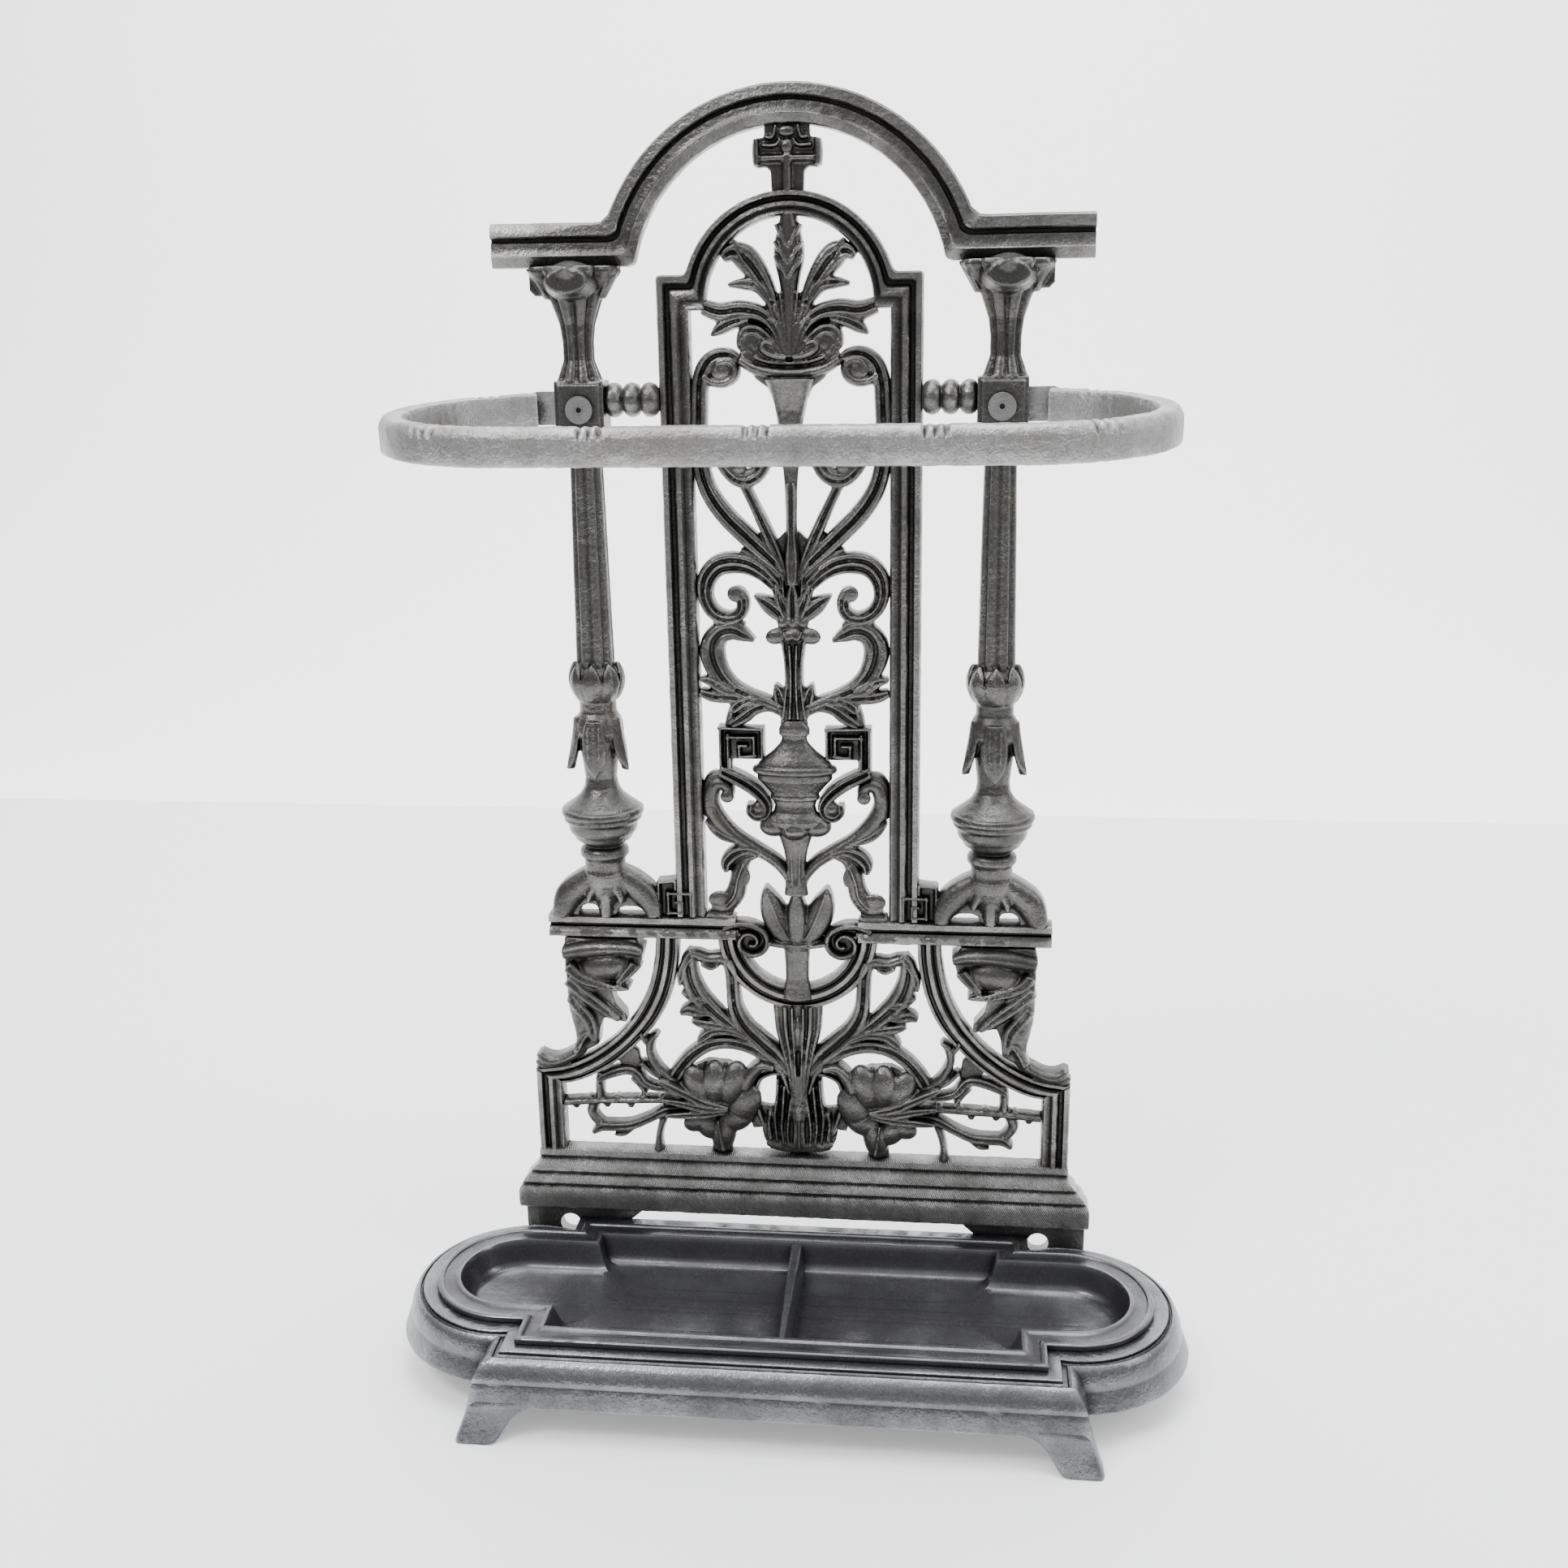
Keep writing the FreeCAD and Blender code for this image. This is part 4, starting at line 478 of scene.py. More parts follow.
def column():
    """Column with capital, bolt block, fluted shaft, collar and urn; its claw foot; its spindle."""
    x = 122.0
    cast = Cast()
    # capital and fluted neck
    cast.turned(x + 1.5, [(664, 26), (661, 27), (656, 23), (650, 17), (642, 14), (632, 10.5),
                          (622, 9.2), (612, 9.2), (606, 11.4), (600, 13.6)], 0.9, flutes=8, deep=0.24, n=72)
    cast.prism([(98, 664), (150, 664), (150, 651), (147, 648), (141, 648), (136, 655), (110, 655),
                (103, 656)], -BACK, 3.5)
    for a, wide in ((-0.2, 6), (-1.571, 8.5), (-2.94, 6)):
        petal(cast, x + 1.5, -a, 646, 663, 16, 21, 26, wide, 2.4)
    cast.tube([[(x + 2 + (11.5 + g) * math.cos(a), v, 655.6 + (6.6 + g) * math.sin(a))
                for a in np.linspace(0, 2 * math.pi, 32, endpoint=False)]
               for v, g in ((10, 5), (20, 1.6), (23.4, 0.6), (24.4, -0.6))])
    cast.prism([(105, 663.5), (143, 663.5), (139, 654), (109, 654)], -BACK, 12)
    # block with the bolt's boss
    cast.prism([(108, 600.5), (137, 600.5), (137, 568), (108, 568)], -BACK, 11.0)
    cast.prism([(110.5, 598), (134.5, 598), (134.5, 571), (110.5, 571)], 10, 12.4)
    # faceted shaft
    cast.turned(x, [(569, 9.6), (550, 9.8), (520, 10.4), (490, 10.9), (460, 11.3), (432, 11.8),
                    (426, 12)], 1.0, flutes=8, deep=0.16, n=88)
    # bulb of petals, collar of three leaves
    cast.turned(x - 0.3, [(430, 12), (427, 14), (423, 15.2), (418, 15.6), (413, 14.2),
                          (410, 12.4), (408.5, 11.3), (400, 11.5), (397, 12)], 1.0, n=64)
    for k in range(5):
        petal(cast, x - 0.3, math.pi * (k / 4), 410, 433, 11.6, 19.6, 12.6, 5.8, 1.9)
    cast.turned(x - 0.3, [(402.5, 10.8), (401, 12.2), (398.6, 13.6), (395, 14.9), (389, 15.4),
                          (384, 13), (376, 11.8), (367, 10.6), (360, 9.9), (354, 10.8), (349, 13.8),
                          (345, 18.5), (342.4, 22.4), (341, 23.6), (340.6, 25.2), (338.4, 26),
                          (336.6, 25.6), (335.6, 24), (335, 24.4), (333.4, 24.6), (332.2, 23.4),
                          (331.6, 22), (327, 21.4), (324.4, 20.4), (323.8, 19.4), (320, 17.4),
                          (316.6, 12.4), (315.6, 11.6), (314.8, 13.6), (313, 15.3), (309.6, 15.4),
                          (308, 14.2), (306.6, 13.2), (305.8, 12.9), (300, 13), (297, 14)], 1.0, n=64)
    petal(cast, x, math.pi / 2, 398, 362, 14.2, 16.4, 15.0, 7.6, 2.3)
    for a in (0.35, math.pi - 0.35):
        petal(cast, x, a, 399, 366, 12.4, 14.0, 18.6, 6.6, 3.0)
    for k in (-1, 1):
        cast.turned(x + k * 3.4, [(394, 1.4), (376, 1.5), (368, 0.8)], 12.4)
    pair("column", cast, voxel=0.75, smooth=1)
    foot = Cast(1.25)
    outline = [(108.5, 299), (103, 295), (96, 290), (90, 287), (88, 280), (88, 268), (96, 268),
               (98, 271.5), (102, 274), (110, 274.3), (114, 272.5), (115.5, 268), (126, 268),
               (126.2, 271.5), (129, 274.6), (134, 275.4), (138, 273.5), (139.8, 269.5), (140, 267),
               (155, 267), (154, 275), (150, 284), (143, 290), (136.5, 294), (133.5, 299)]
    foot.prism(outline, 0.3 - BACK, 2.2)
    foot.turned(x - 0.5, [(300, 13.4), (296, 14), (290, 13.4), (284, 11), (276, 6.5), (268, 5.6)],
                0.85)
    foot.rod([(128, 296, 10), (137, 289, 13), (146, 281, 14), (150.5, 271, 11), (151, 267, 9)], 6.5)
    foot.rod([(114, 296, 10), (105, 289.5, 13), (96.5, 282, 13), (92, 274, 10), (91, 268, 8)], 6.0)
    for turn in (-1, 1):
        foot.rod([(121.5 + turn * 3, 297, 5), (121.5 + turn * 7, 289, 6), (121.5 + turn * 10, 282, 5),
                  (121.5 + turn * 10.6, 278, 2)], 8.4)
    foot.rod([(121.5, 298, 6), (121.5, 287, 7), (121.5, 276, 7), (121.5, 268, 6)], 8.0)
    pair("claw_foot", foot, voxel=0.85, smooth=3)
    beads = Cast()
    profile = [(0, 6.4)]
    for k in range(3):
        start = 0.6 + k * 10.6
        profile += [(start, 6.8), (start + 1.2, 8.6), (start + 3.4, 9.8), (start + 5.2, 10.1),
                    (start + 7.0, 9.8), (start + 9.0, 8.6), (start + 10.0, 6.8)]
    profile += [(32, 6.6)]
    rings = []
    for along, r in profile:
        rings.append([(76.5 + along, max(r * math.sin(a), -BACK), 589 + r * math.cos(a))
                      for a in np.linspace(0, 2 * math.pi, 32, endpoint=False)])
    beads.tube(rings)
    pair("spindle", beads, crease=60)


def console():
    """Leaf bracket under the shelf."""
    cast = Cast()
    cast.prism([(104, 252), (150.5, 252), (150.5, 246), (151, 232), (149.5, 212), (147, 195),
                (145.6, 177), (140, 173), (131, 178), (129.5, 190), (127, 197), (112, 194),
                (112.5, 200), (119, 208), (121.5, 218), (115, 219), (108, 225), (101, 236),
                (98.5, 246)], -BACK, 3.0)
    lip = [(98.5, 244.5, 7), (108, 246.5, 9), (122, 246.5, 10), (137, 245, 11), (151, 242.5, 9)]
    cast.rod(lip, 9.0)
    cast.blob(125, 233, 18, 11, 9.6, -0.1)
    cast.blob(140, 214, 9, 20, 7.0, 0.3)
    cast.blob(140, 190, 6.6, 15, 6.2, 0.1)
    cast.ribbon([(104, 236, 9), (110, 229, 8), (116, 222.5, 5)], LEAF, 7.0)
    cast.ribbon([(148, 234, 9), (139, 226, 8), (129, 222.5, 7), (119, 220, 5), (108, 219.5, 2)],
                LEAF, 8.2)
    cast.ribbon([(149, 224, 9), (139, 215, 10), (128, 206, 9), (116, 197, 4)], LEAF, 6.8)
    cast.ribbon([(147.5, 212, 9), (141, 203, 10), (136, 196, 10), (134, 188, 8), (133, 181, 5)],
                LEAF, 6.5)
    cast.rod([(146, 226, 8), (146.5, 212, 9), (144, 196, 10), (142, 184, 9), (143, 174, 8),
              (150, 169, 8), (157, 165.5, 8), (164, 164, 9), (169.5, 166.5, 8), (172, 170.5, 4)], 4.0)
    cast.ribbon([(131, 183, 4), (138, 186.5, 5), (143, 180, 6), (146, 173, 5)], LEAF, 6.5)
    cast.rod([(150, 163, 5), (160, 161, 6), (170, 160.5, 7), (174, 164, 4)], 1.2)
    pair("console", cast, voxel=0.85, smooth=3)


# ---------------------------------------------------------------- ornament of the tall frame
def cross_link():
    """Cross between the rail and the inner arch."""
    cast = Cast()
    cast.prism([(-9, 702), (9, 702), (9.5, 713), (12, 715.5), (17, 715), (19.5, 718), (19.5, 727.5),
                (17, 730.6), (13, 731), (12.6, 738.5), (-12.6, 738.5), (-13, 731), (-17, 730.6),
                (-19.5, 727.5), (-19.5, 718), (-17, 715), (-12, 715.5), (-9.5, 713)], -HOLD, -1.0)
    cast.rod([(0, 702, 6.4), (0, 722, 6.4)], 1.8)
    cast.rod([(-14.5, 719.8, 4.6), (14.5, 719.8, 4.6)], 1.6)
    for s in (-1, 1):
        cast.rod([(s * 17, 716, 4.4), (s * 17.4, 723, 5), (s * 17, 730, 4.4)], 1.4)
        cast.rod([(s * 3.5, 730, 2.4), (s * 5.5, 727, 2.6), (s * 9, 726.4, 2.8),
                  (s * 14, 726.8, 3)], 1.4)
        cast.rod([(s * 6, 737, 3), (s * 8, 731, 3), (s * 12, 731, 3)], 1.0)
    cast.blob(0, 726, 3.6, 4, 2.4)
    cast.blob(0, 734, 5, 3, 1.8)
    make("cross_link", cast, ["cross_link"], voxel=0.65)


def bouquet():
    """Bunch of leaves in a bowl on a long stem."""
    half = Cast(1.35)
    half.leaf([(2, 614, 3), (6.5, 632, 4.5), (12, 648, 7), (19, 660, 10), (26, 668, 11),
               (33, 670, 8), (38, 667, 4)])
    half.leaf([(25, 667, 6), (29, 673, 4), (32, 677, 1.5)])
    half.leaf([(11, 643, 4), (18, 651.5, 6), (27, 653, 5), (35, 652.4, 2)])
    half.leaf([(3, 614, 3), (8.5, 628, 4.5), (16, 636, 7), (28, 638.6, 8.5), (40, 637.5, 8.5),
               (50, 640.5, 7)])
    half.leaf([(24, 634, 4), (34, 631.5, 6), (41, 628, 5.4), (45.5, 624.4, 1.2)])
    half.leaf([(5, 613, 3), (11, 621, 4.5), (19, 627, 5.5), (26, 626, 6), (28.6, 619.5, 4),
               (28, 616.5, 2)])
    for top in ((2.2, 652), (5.2, 648), (8.6, 641), (12, 634)):
        half.rod([(1.2, 612, 1.7), (top[0] * 0.55, 630, 1.9), (*top, 1.7)], 0.8)
    half.rod([(2, 611.4, 2.6), (9, 612.6, 3), (14.5, 615.4, 3.2), (16.2, 618.6, 3), (13.6, 620.8, 2.8),
              (9.4, 619, 2.4)], 2.2)
    half.blob(19, 612.4, 11, 4.2, 0.4)
    half.blob(22.6, 621, 6.6, 5.6, 1.0)
    half.blob(12.6, 617.4, 5.4, 3.8, 1.4)
    half.blob(25, 612.5, 4.6, 4.6, 2.0)
    half.rod([(24, 616, 3), (27, 619, 3), (29, 622, 2)], 0.5)
    for low, lean in ((656, 1.0), (664, 1.0), (673, 0.9)):
        half.rod([(0.2, low, 1.8), (4 * lean, low + 5, 2.3), (8 * lean, low + 12, 1.6)], 1.9)
    cast = half.both()
    cast.leaf([(0, 612, 4), (0, 640, 6), (0, 655, 9), (0, 667, 13), (0, 678, 11.4), (0, 686, 8),
               (0, 691, 7)], 1.2, ROUND)
    cast.rod([(-29, 611, 4.5), (-21, 606, 5), (-11, 603.4, 5.4), (0, 602.4, 5.6), (11, 603.4, 5.4),
              (21, 606, 5), (29, 611, 4.5)], 3.2)
    cast.rod([(-20, 612, 2.4), (-11, 609.4, 2.4), (0, 608.6, 2.4), (11, 609.4, 2.4),
              (20, 612, 2.4)], 1.2)
    cast.prism([(-25, 609), (-9, 615), (9, 615), (25, 609), (20, 600), (13, 595), (10, 588),
                (-10, 588), (-13, 595), (-20, 600)], -HOLD, -0.6)
    cast.turned(0, [(600, 15), (596, 12.6), (590, 10.6), (582, 8.2), (572, 7.4), (556, 6.4), (548, 4.6),
                    (536, 3.7), (520, 3.4), (506, 3.6), (494, 4.6), (480, 4)], 0.8, HOLD)
    for s in (-1, 1):
        cast.rod([(s * 1.7, 540, 1.4), (s * 1.6, 510, 1.5), (s * 2.6, 496, 2), (s * 2, 482, 1.6)], 3.4)
        cast.leaf([(s * 3, 480, 3), (s * 8, 492, 3), (s * 12, 501, 3), (s * 15, 507, 2)], -0.2)
    for s in (-1, 1):
        cast.rod([(s * 8.4, 588, 2), (s * 6.4, 579, 2.2), (s * 3.5, 566, 1.6)], 3.4)
    cast.prism([(-6, 480), (6, 480), (13, 503), (4, 512), (-4, 512), (-13, 503)], -HOLD, -2.0)
    make("bouquet", cast, ["bouquet"], voxel=0.7)


def lyres():
    """Tall scrolls at both sides of the stem."""
    cast = Cast(1.28)
    cast.ribbon([(29.5, 611, 4), (35.5, 613.8, 6), (43, 613.2, 7), (49.2, 608.5, 7.6), (52.8, 599, 8),
                 (53.8, 586, 8), (54.4, 568, 8), (53.8, 552, 8), (51.2, 540, 8.4), (46.4, 530, 9),
                 (38.4, 519.6, 9.4), (28.4, 509.8, 9.4), (18, 500, 8.6), (8.4, 490.6, 6), (3.6, 484, 4)])
    cast.rod([(51, 602, 4), (46, 598.6, 4.6), (39, 597.9, 4.8), (33.4, 601, 4.8), (32, 606.6, 4.6),
              (35.8, 610.2, 4), (41.4, 609.2, 3.6), (43.2, 605.6, 3)], 1.2)
    cast.blob(40.4, 604.6, 5.8, 5.2, 2.2)
    cast.ribbon([(17, 561, 4), (13.6, 555, 4.4), (17.4, 546.4, 5), (24, 541.4, 5.6), (31.6, 541.4, 5.8),
                 (38, 546.4, 5.4), (42.6, 553.6, 4.4), (42, 560, 4), (36, 565, 4), (28, 564, 3.6),
                 (25, 558, 3)], SCROLL, 0.3)
    cast.rod([(22, 556, 3), (21.6, 549.6, 3.6), (27, 545.8, 4), (33.4, 546.6, 4), (36.4, 550.8, 3.4),
              (33, 553.6, 2.6)], 0.2)
    cast.blob(31, 549.6, 4.6, 3.8, 2.0)
    cast.ribbon([(28, 539, 5), (22.6, 528, 5.2), (17, 516, 6), (11.6, 504, 6), (6.4, 492, 4.6),
                 (3.4, 484, 3)])
    pair("lyre_scroll", cast, voxel=0.7)


def c_scrolls():
    """Pair of curls under the lyres."""
    cast = Cast(1.1)
    cast.ribbon([(6, 474, 4), (10, 479, 7), (18, 486.6, 9), (27, 491.6, 11), (37, 493, 12.4),
                 (46, 490.6, 12), (52, 483.4, 11), (53.2, 473.6, 9), (50.2, 465.4, 8.6),
                 (44.4, 460.6, 8.6), (37.4, 459.6, 8), (31.8, 463, 7.6), (30.2, 469, 7.6),
                 (32.2, 474.4, 7.6), (35.6, 475.4, 7)], DOUBLE)
    cast.blob(34.8, 474.6, 4.9, 4.9, 1.6)
    cast.rod([(6, 484, 5), (16, 493, 6), (26, 499, 5), (31, 501, 3)], -1)
    for a in ((9, 470, 12, 478), (7, 472, 9, 482), (5, 474, 6, 486)):
        cast.rod([(a[0], a[1] - 3, 1.6), (a[2], a[3], 1.9)], 0.9)
    pair("c_scroll", cast, voxel=0.7)


def vase():
    """Slim vase with a leaf at each side."""
    half = Cast(1.2)
    half.leaf([(3, 458, 5), (9, 463, 9), (15, 468, 9), (20, 471.6, 5), (23.4, 474, 1.2)], 0.6)
    half.leaf([(2, 458, 5), (5.4, 466, 7), (8.4, 474, 5), (10, 480, 1.5)], 1.2)
    half.blob(6.2, 457, 3.4, 3.2, 2.6)
    half.blob(10.4, 449, 6.6, 5.0, 3.2, -0.25)
    half.leaf([(5, 397, 5), (7.6, 406, 8), (9.6, 414, 6.4), (11.4, 419.6, 1.6)], 0.4)
    half.rod([(6.4, 446, 2.6), (4.6, 430, 2.1), (4.8, 414, 2.1), (7, 398, 2.6)], 1.4)
    half.rod([(2.2, 444, 2.4), (1.6, 428, 1.8), (1.8, 412, 1.9), (2.6, 398, 2.4)], 3.0)
    cast = half.both()
    cast.leaf([(0, 458, 6), (0, 466, 9), (0, 474, 7), (0, 482, 2)], 2.2)
    cast.blob(0, 457, 3.2, 3.4, 3.4)
    cast.blob(0, 450, 6.2, 4.6, 4.6)
    cast.rod([(-5.6, 452.4, 2), (-3, 447.4, 2), (0, 449.4, 2), (3, 447.4, 2), (5.6, 452.4, 2)], 4.0)
    cast.turned(0, [(462, 6), (456, 9.2), (453, 8), (448, 7.6), (441, 6.4), (428, 4.8), (418, 4.8),
                    (408, 6), (400, 8), (394, 9)], 0.12, HOLD)
    cast.prism([(-8, 462), (8, 462), (6, 478), (3, 486), (-3, 486), (-6, 478)], -HOLD, -2.0)
    make("vase", cast, ["vase"], voxel=0.7)


def acanthus():
    """Leaf that curls round beside the vase."""
    cast = Cast(1.35)
    cast.leaf([(7, 404, 4), (16, 408.4, 5), (27, 412, 6), (37, 416.4, 8), (44.6, 424, 9.4),
               (49, 433.6, 11), (49.6, 443, 11.6), (45, 450, 10.4), (37.6, 452, 9.6), (30.6, 449.4, 7),
               (23.6, 446, 2)])
    cast.rod([(54, 446, 4), (55.4, 438, 4), (52.6, 428, 3.4), (47, 419, 3)], 0.4)
    cast.rod([(30, 454, 4), (36, 456.6, 5), (44, 456.4, 5), (48, 459, 4)], -0.4)
    cast.leaf([(37, 414, 5), (45, 417.6, 7), (52, 421, 5), (57.6, 422, 2)], 0.6)
    cast.leaf([(30, 410, 4), (42, 410.4, 6), (51, 411.4, 6), (58, 414, 4)], 0.2)
    cast.leaf([(9, 405, 4), (20, 409, 5), (30, 408.4, 6), (36.4, 404.6, 6), (38, 401.6, 3)], 0.8)
    cast.leaf([(7, 401, 4), (15, 405, 5.4), (24, 403.4, 6), (31, 398.4, 6.6), (39.6, 393, 4)], 0.4)
    cast.rod([(38, 404, 4), (40, 398, 4), (41.6, 393, 3)], -0.6)
    pair("acanthus", cast, voxel=0.7)


def key_squares():
    """Greek-key square with a scroll under it."""
    cast = Cast()
    cast.prism([(18.6, 371.5), (47.4, 371.5), (47.4, 392.6), (18.6, 392.6)], -HOLD, -1.6)
    cast.prism([(39, 361), (47.4, 361), (47.4, 375), (39, 375)], -HOLD, -1.6)
    bars = [[(20, 372), (20, 392.4)], [(18.5, 391), (47.4, 391.8)], [(45.9, 393), (45.9, 361)],
            [(41.2, 388.4), (41.2, 365)], [(24.4, 386), (42.4, 386)], [(25, 387), (25, 375.6)],
            [(23.6, 374.6), (35, 373.6)], [(34.2, 373), (34.2, 381.6)], [(29, 380.8), (35.4, 380.8)]]
    for a, b in bars:
        cast.rod([(*a, 2.8), (*b, 2.8)], 2.0)
    cast.ribbon([(46, 364.4, 8), (38, 360.4, 9), (29, 355.4, 9.6), (21.6, 349.4, 9), (17, 342.6, 6.6),
                 (18.4, 336.4, 5), (24, 334.4, 5), (28.6, 338, 4.6), (28.4, 343.4, 4)], SCROLL, 2.4)
    cast.blob(22.6, 341, 4.6, 4.6, 4.0)
    pair("key_square", cast, voxel=0.55, smooth=1)


def urn():
    """Urn in the middle of the inner frame."""
    half = Cast()
    half.blob(13.6, 329, 9.2, 6.6, 7.4, 0.1)
    half.rod([(3.4, 322, 2.4), (2.8, 308, 2.2), (2.2, 292, 2)], 3.4)
    half.rod([(7, 321, 2.4), (5, 306, 2), (6.4, 291, 2)], 0.6)
    cast = half.both()
    cast.blob(0, 327.6, 9.4, 6.8, 10.4)
    cast.turned(0, [(397, 6), (394, 8.6), (392, 9.6), (388.4, 9.6), (387, 8), (385.4, 7.8), (383, 8.8),
                    (378, 13.4), (373, 19.6), (370.4, 22.4), (368.8, 23.2), (368.2, 25.4),
                    (366.6, 26.4), (364.8, 26.2), (363.8, 24.6), (363.2, 23.4), (360, 23.2),
                    (356, 19.4), (352, 16.0), (350.2, 14.6), (349.4, 15.4), (347.4, 15.4),
                    (346.6, 13.8), (343, 12.6), (339, 13.6), (336, 18), (333.4, 20.6), (330, 19),
                    (326, 12)], 0.46, HOLD, n=64)
    cast.turned(0, [(330, 12), (323, 10.4), (314, 7.6), (305, 6), (296, 5.6), (290, 7), (284, 7.6)],
                0.6, HOLD)
    make("urn", cast, ["urn"], voxel=0.65, smooth=1)


def branches():
    """Leafy branch from the urn down to the shelf."""
    cast = Cast(1.3)
    cast.blob(42.6, 347.6, 4.4, 4.0, 2.4)
    cast.leaf([(40.6, 347.6, 4), (42, 352.6, 6), (46, 355.4, 7.4), (51, 353.6, 8), (53.6, 346.4, 8.4),
               (52.4, 337.6, 9), (46, 328, 8.6), (36.6, 319.6, 7.6), (25, 312.6, 7), (14, 305.6, 6.6),
               (7, 298, 6), (3.4, 290, 4)], 0.2, ROUND)
    cast.rod([(46, 361, 4), (52, 359.6, 5), (56, 354, 4), (57, 344, 4), (56.6, 334, 3)], -2)
    cast.leaf([(37, 318, 3), (46, 321.6, 5), (52, 326, 4), (56.6, 331.6, 1.4)], 0.6)
    cast.leaf([(22, 310.6, 3), (31, 312.4, 5), (39.6, 309.4, 7.4), (44.6, 303.6, 6), (44, 298, 3)], 0.8)
    cast.leaf([(25, 309, 3.4), (31.6, 306.4, 6), (36, 299, 8), (37.4, 290, 9), (40, 281.6, 10),
               (46.4, 275, 10), (54, 276, 9)], 0.4, ROUND)
    cast.rod([(33.4, 304, 2), (37, 294, 2), (39.6, 283, 2), (45, 276, 2)], 2.2)
    cast.blob(32.6, 295, 3.4, 6, 0.2)
    cast.blob(49, 279.4, 7.4, 5.6, 1.6)
    cast.rod([(40, 268.5, 4), (48, 267.6, 4), (57.6, 268.5, 4)], 0.4)
    pair("branch", cast, voxel=0.7)


def tulip():
    """Tulip on the shelf line, with a spiral at each side."""
    half = Cast()
    half.leaf([(4, 251, 8), (9.6, 258, 15), (13.4, 267, 18), (16.4, 276, 15.6), (18.6, 283.6, 9),
               (19.4, 289, 2)], 1.8, ROUND)
    half.rod([(5, 254, 1.6), (10.4, 264, 2), (14.6, 275, 2), (18.4, 285, 1.4)], 2.8)
    half.rod([(1, 250, 4), (9, 250, 4), (18.4, 251.6, 4)], 4.0)
    cast = half.both()
    cast.leaf([(0, 251, 10), (0, 262, 13), (0, 273, 12.6), (0, 281, 9), (0, 288, 4)], 3.6, ROUND)
    cast.turned(0, [(252, 10), (247, 8.4), (240, 7.8), (228, 7.4), (221, 8.6), (214, 10)], 0.7, HOLD)
    make("tulip", cast, ["tulip"], voxel=0.7)
    swirl = Cast()
    swirl.rod([(47, 260, 6), (42, 262.4, 6), (36, 263.4, 5.6), (28.6, 262.6, 5.2), (21.4, 258.6, 4.8),
               (18.8, 252, 4.8), (21.8, 245.2, 4.6), (28.8, 242.4, 4.6), (35.6, 245.6, 4.4),
               (37, 251.8, 4), (33.4, 256.4, 3.6), (28.4, 256.6, 3.2), (25.2, 252.8, 3),
               (27.2, 249.2, 2.8), (30.6, 249.6, 2.6)], 2.2)
    swirl.prism(arc(28.6, 252, 9.6, 0, 340, 18), -HOLD, -2.4)
    swirl.prism([(33, 246), (38, 240), (41, 250), (41, 262), (34, 260), (36, 251)], -HOLD, -2.6)
    pair("volute", swirl, voxel=0.6, smooth=1)


# ---------------------------------------------------------------- ornament of the foot panel
def palmette():
    """Fan of leaves that rises from the plinth."""
    half = Cast()
    for top, foot, wide in ((13.6, 5.2, 4.6), (8.2, 3.4, 4.4), (3.6, 1.6, 2.6)):
        rise = 4.4 - top * 0.22
        half.rod([(top, 208, wide), (top * 0.94, 192, wide), (top * 0.66, 174, wide * 0.8),
                  (foot, 150, 2.4), (foot * 0.8, 128, 1.6)], rise)
    half.rod([(12, 160, 3), (18, 159.6, 4), (25.4, 155.4, 4.2), (28.4, 147, 4.4), (27.8, 137, 4.6),
              (25, 127, 4.6), (21, 117, 4)], 0.4)
    for points in (((13.6, 157), (14.4, 143), (16, 129), (14.6, 112)),
                   ((9.4, 152), (10.6, 136), (11.6, 122), (10.2, 110)),
                   ((5, 143), (6.6, 131), (7.6, 119), (7, 109)),
                   ((19, 133), (20, 124), (18.4, 113)), ((3.4, 136), (2.6, 122), (3.4, 108))):
        half.rod([(x, z, 3.2) for x, z in points], 2.2)
    half.prism([(0, 100), (20, 104), (24, 112), (27, 128), (24, 136), (16.8, 135), (14, 158),
                (4, 164), (0, 164)], -HOLD, -2.8)
    half.blob(10, 108.4, 12.6, 4.6, 2.2, 0.1)
    cast = half.both()
    cast.turned(0, [(209, 16.4), (200, 15.6), (188, 13.4), (176, 10.4), (162, 7.6), (140, 6.4),
                    (118, 7), (104, 8)], 0.1, HOLD)
    cast.blob(0, 189, 2.6, 13, 6.4)
    cast.rod([(-16, 208, 4), (0, 209, 4), (16, 208, 4)], -1)
    cast.rod([(0, 160, 2.4), (0, 130, 2.6), (0, 108, 3)], 3.6)
    make("palmette", cast, ["palmette"], voxel=0.75)


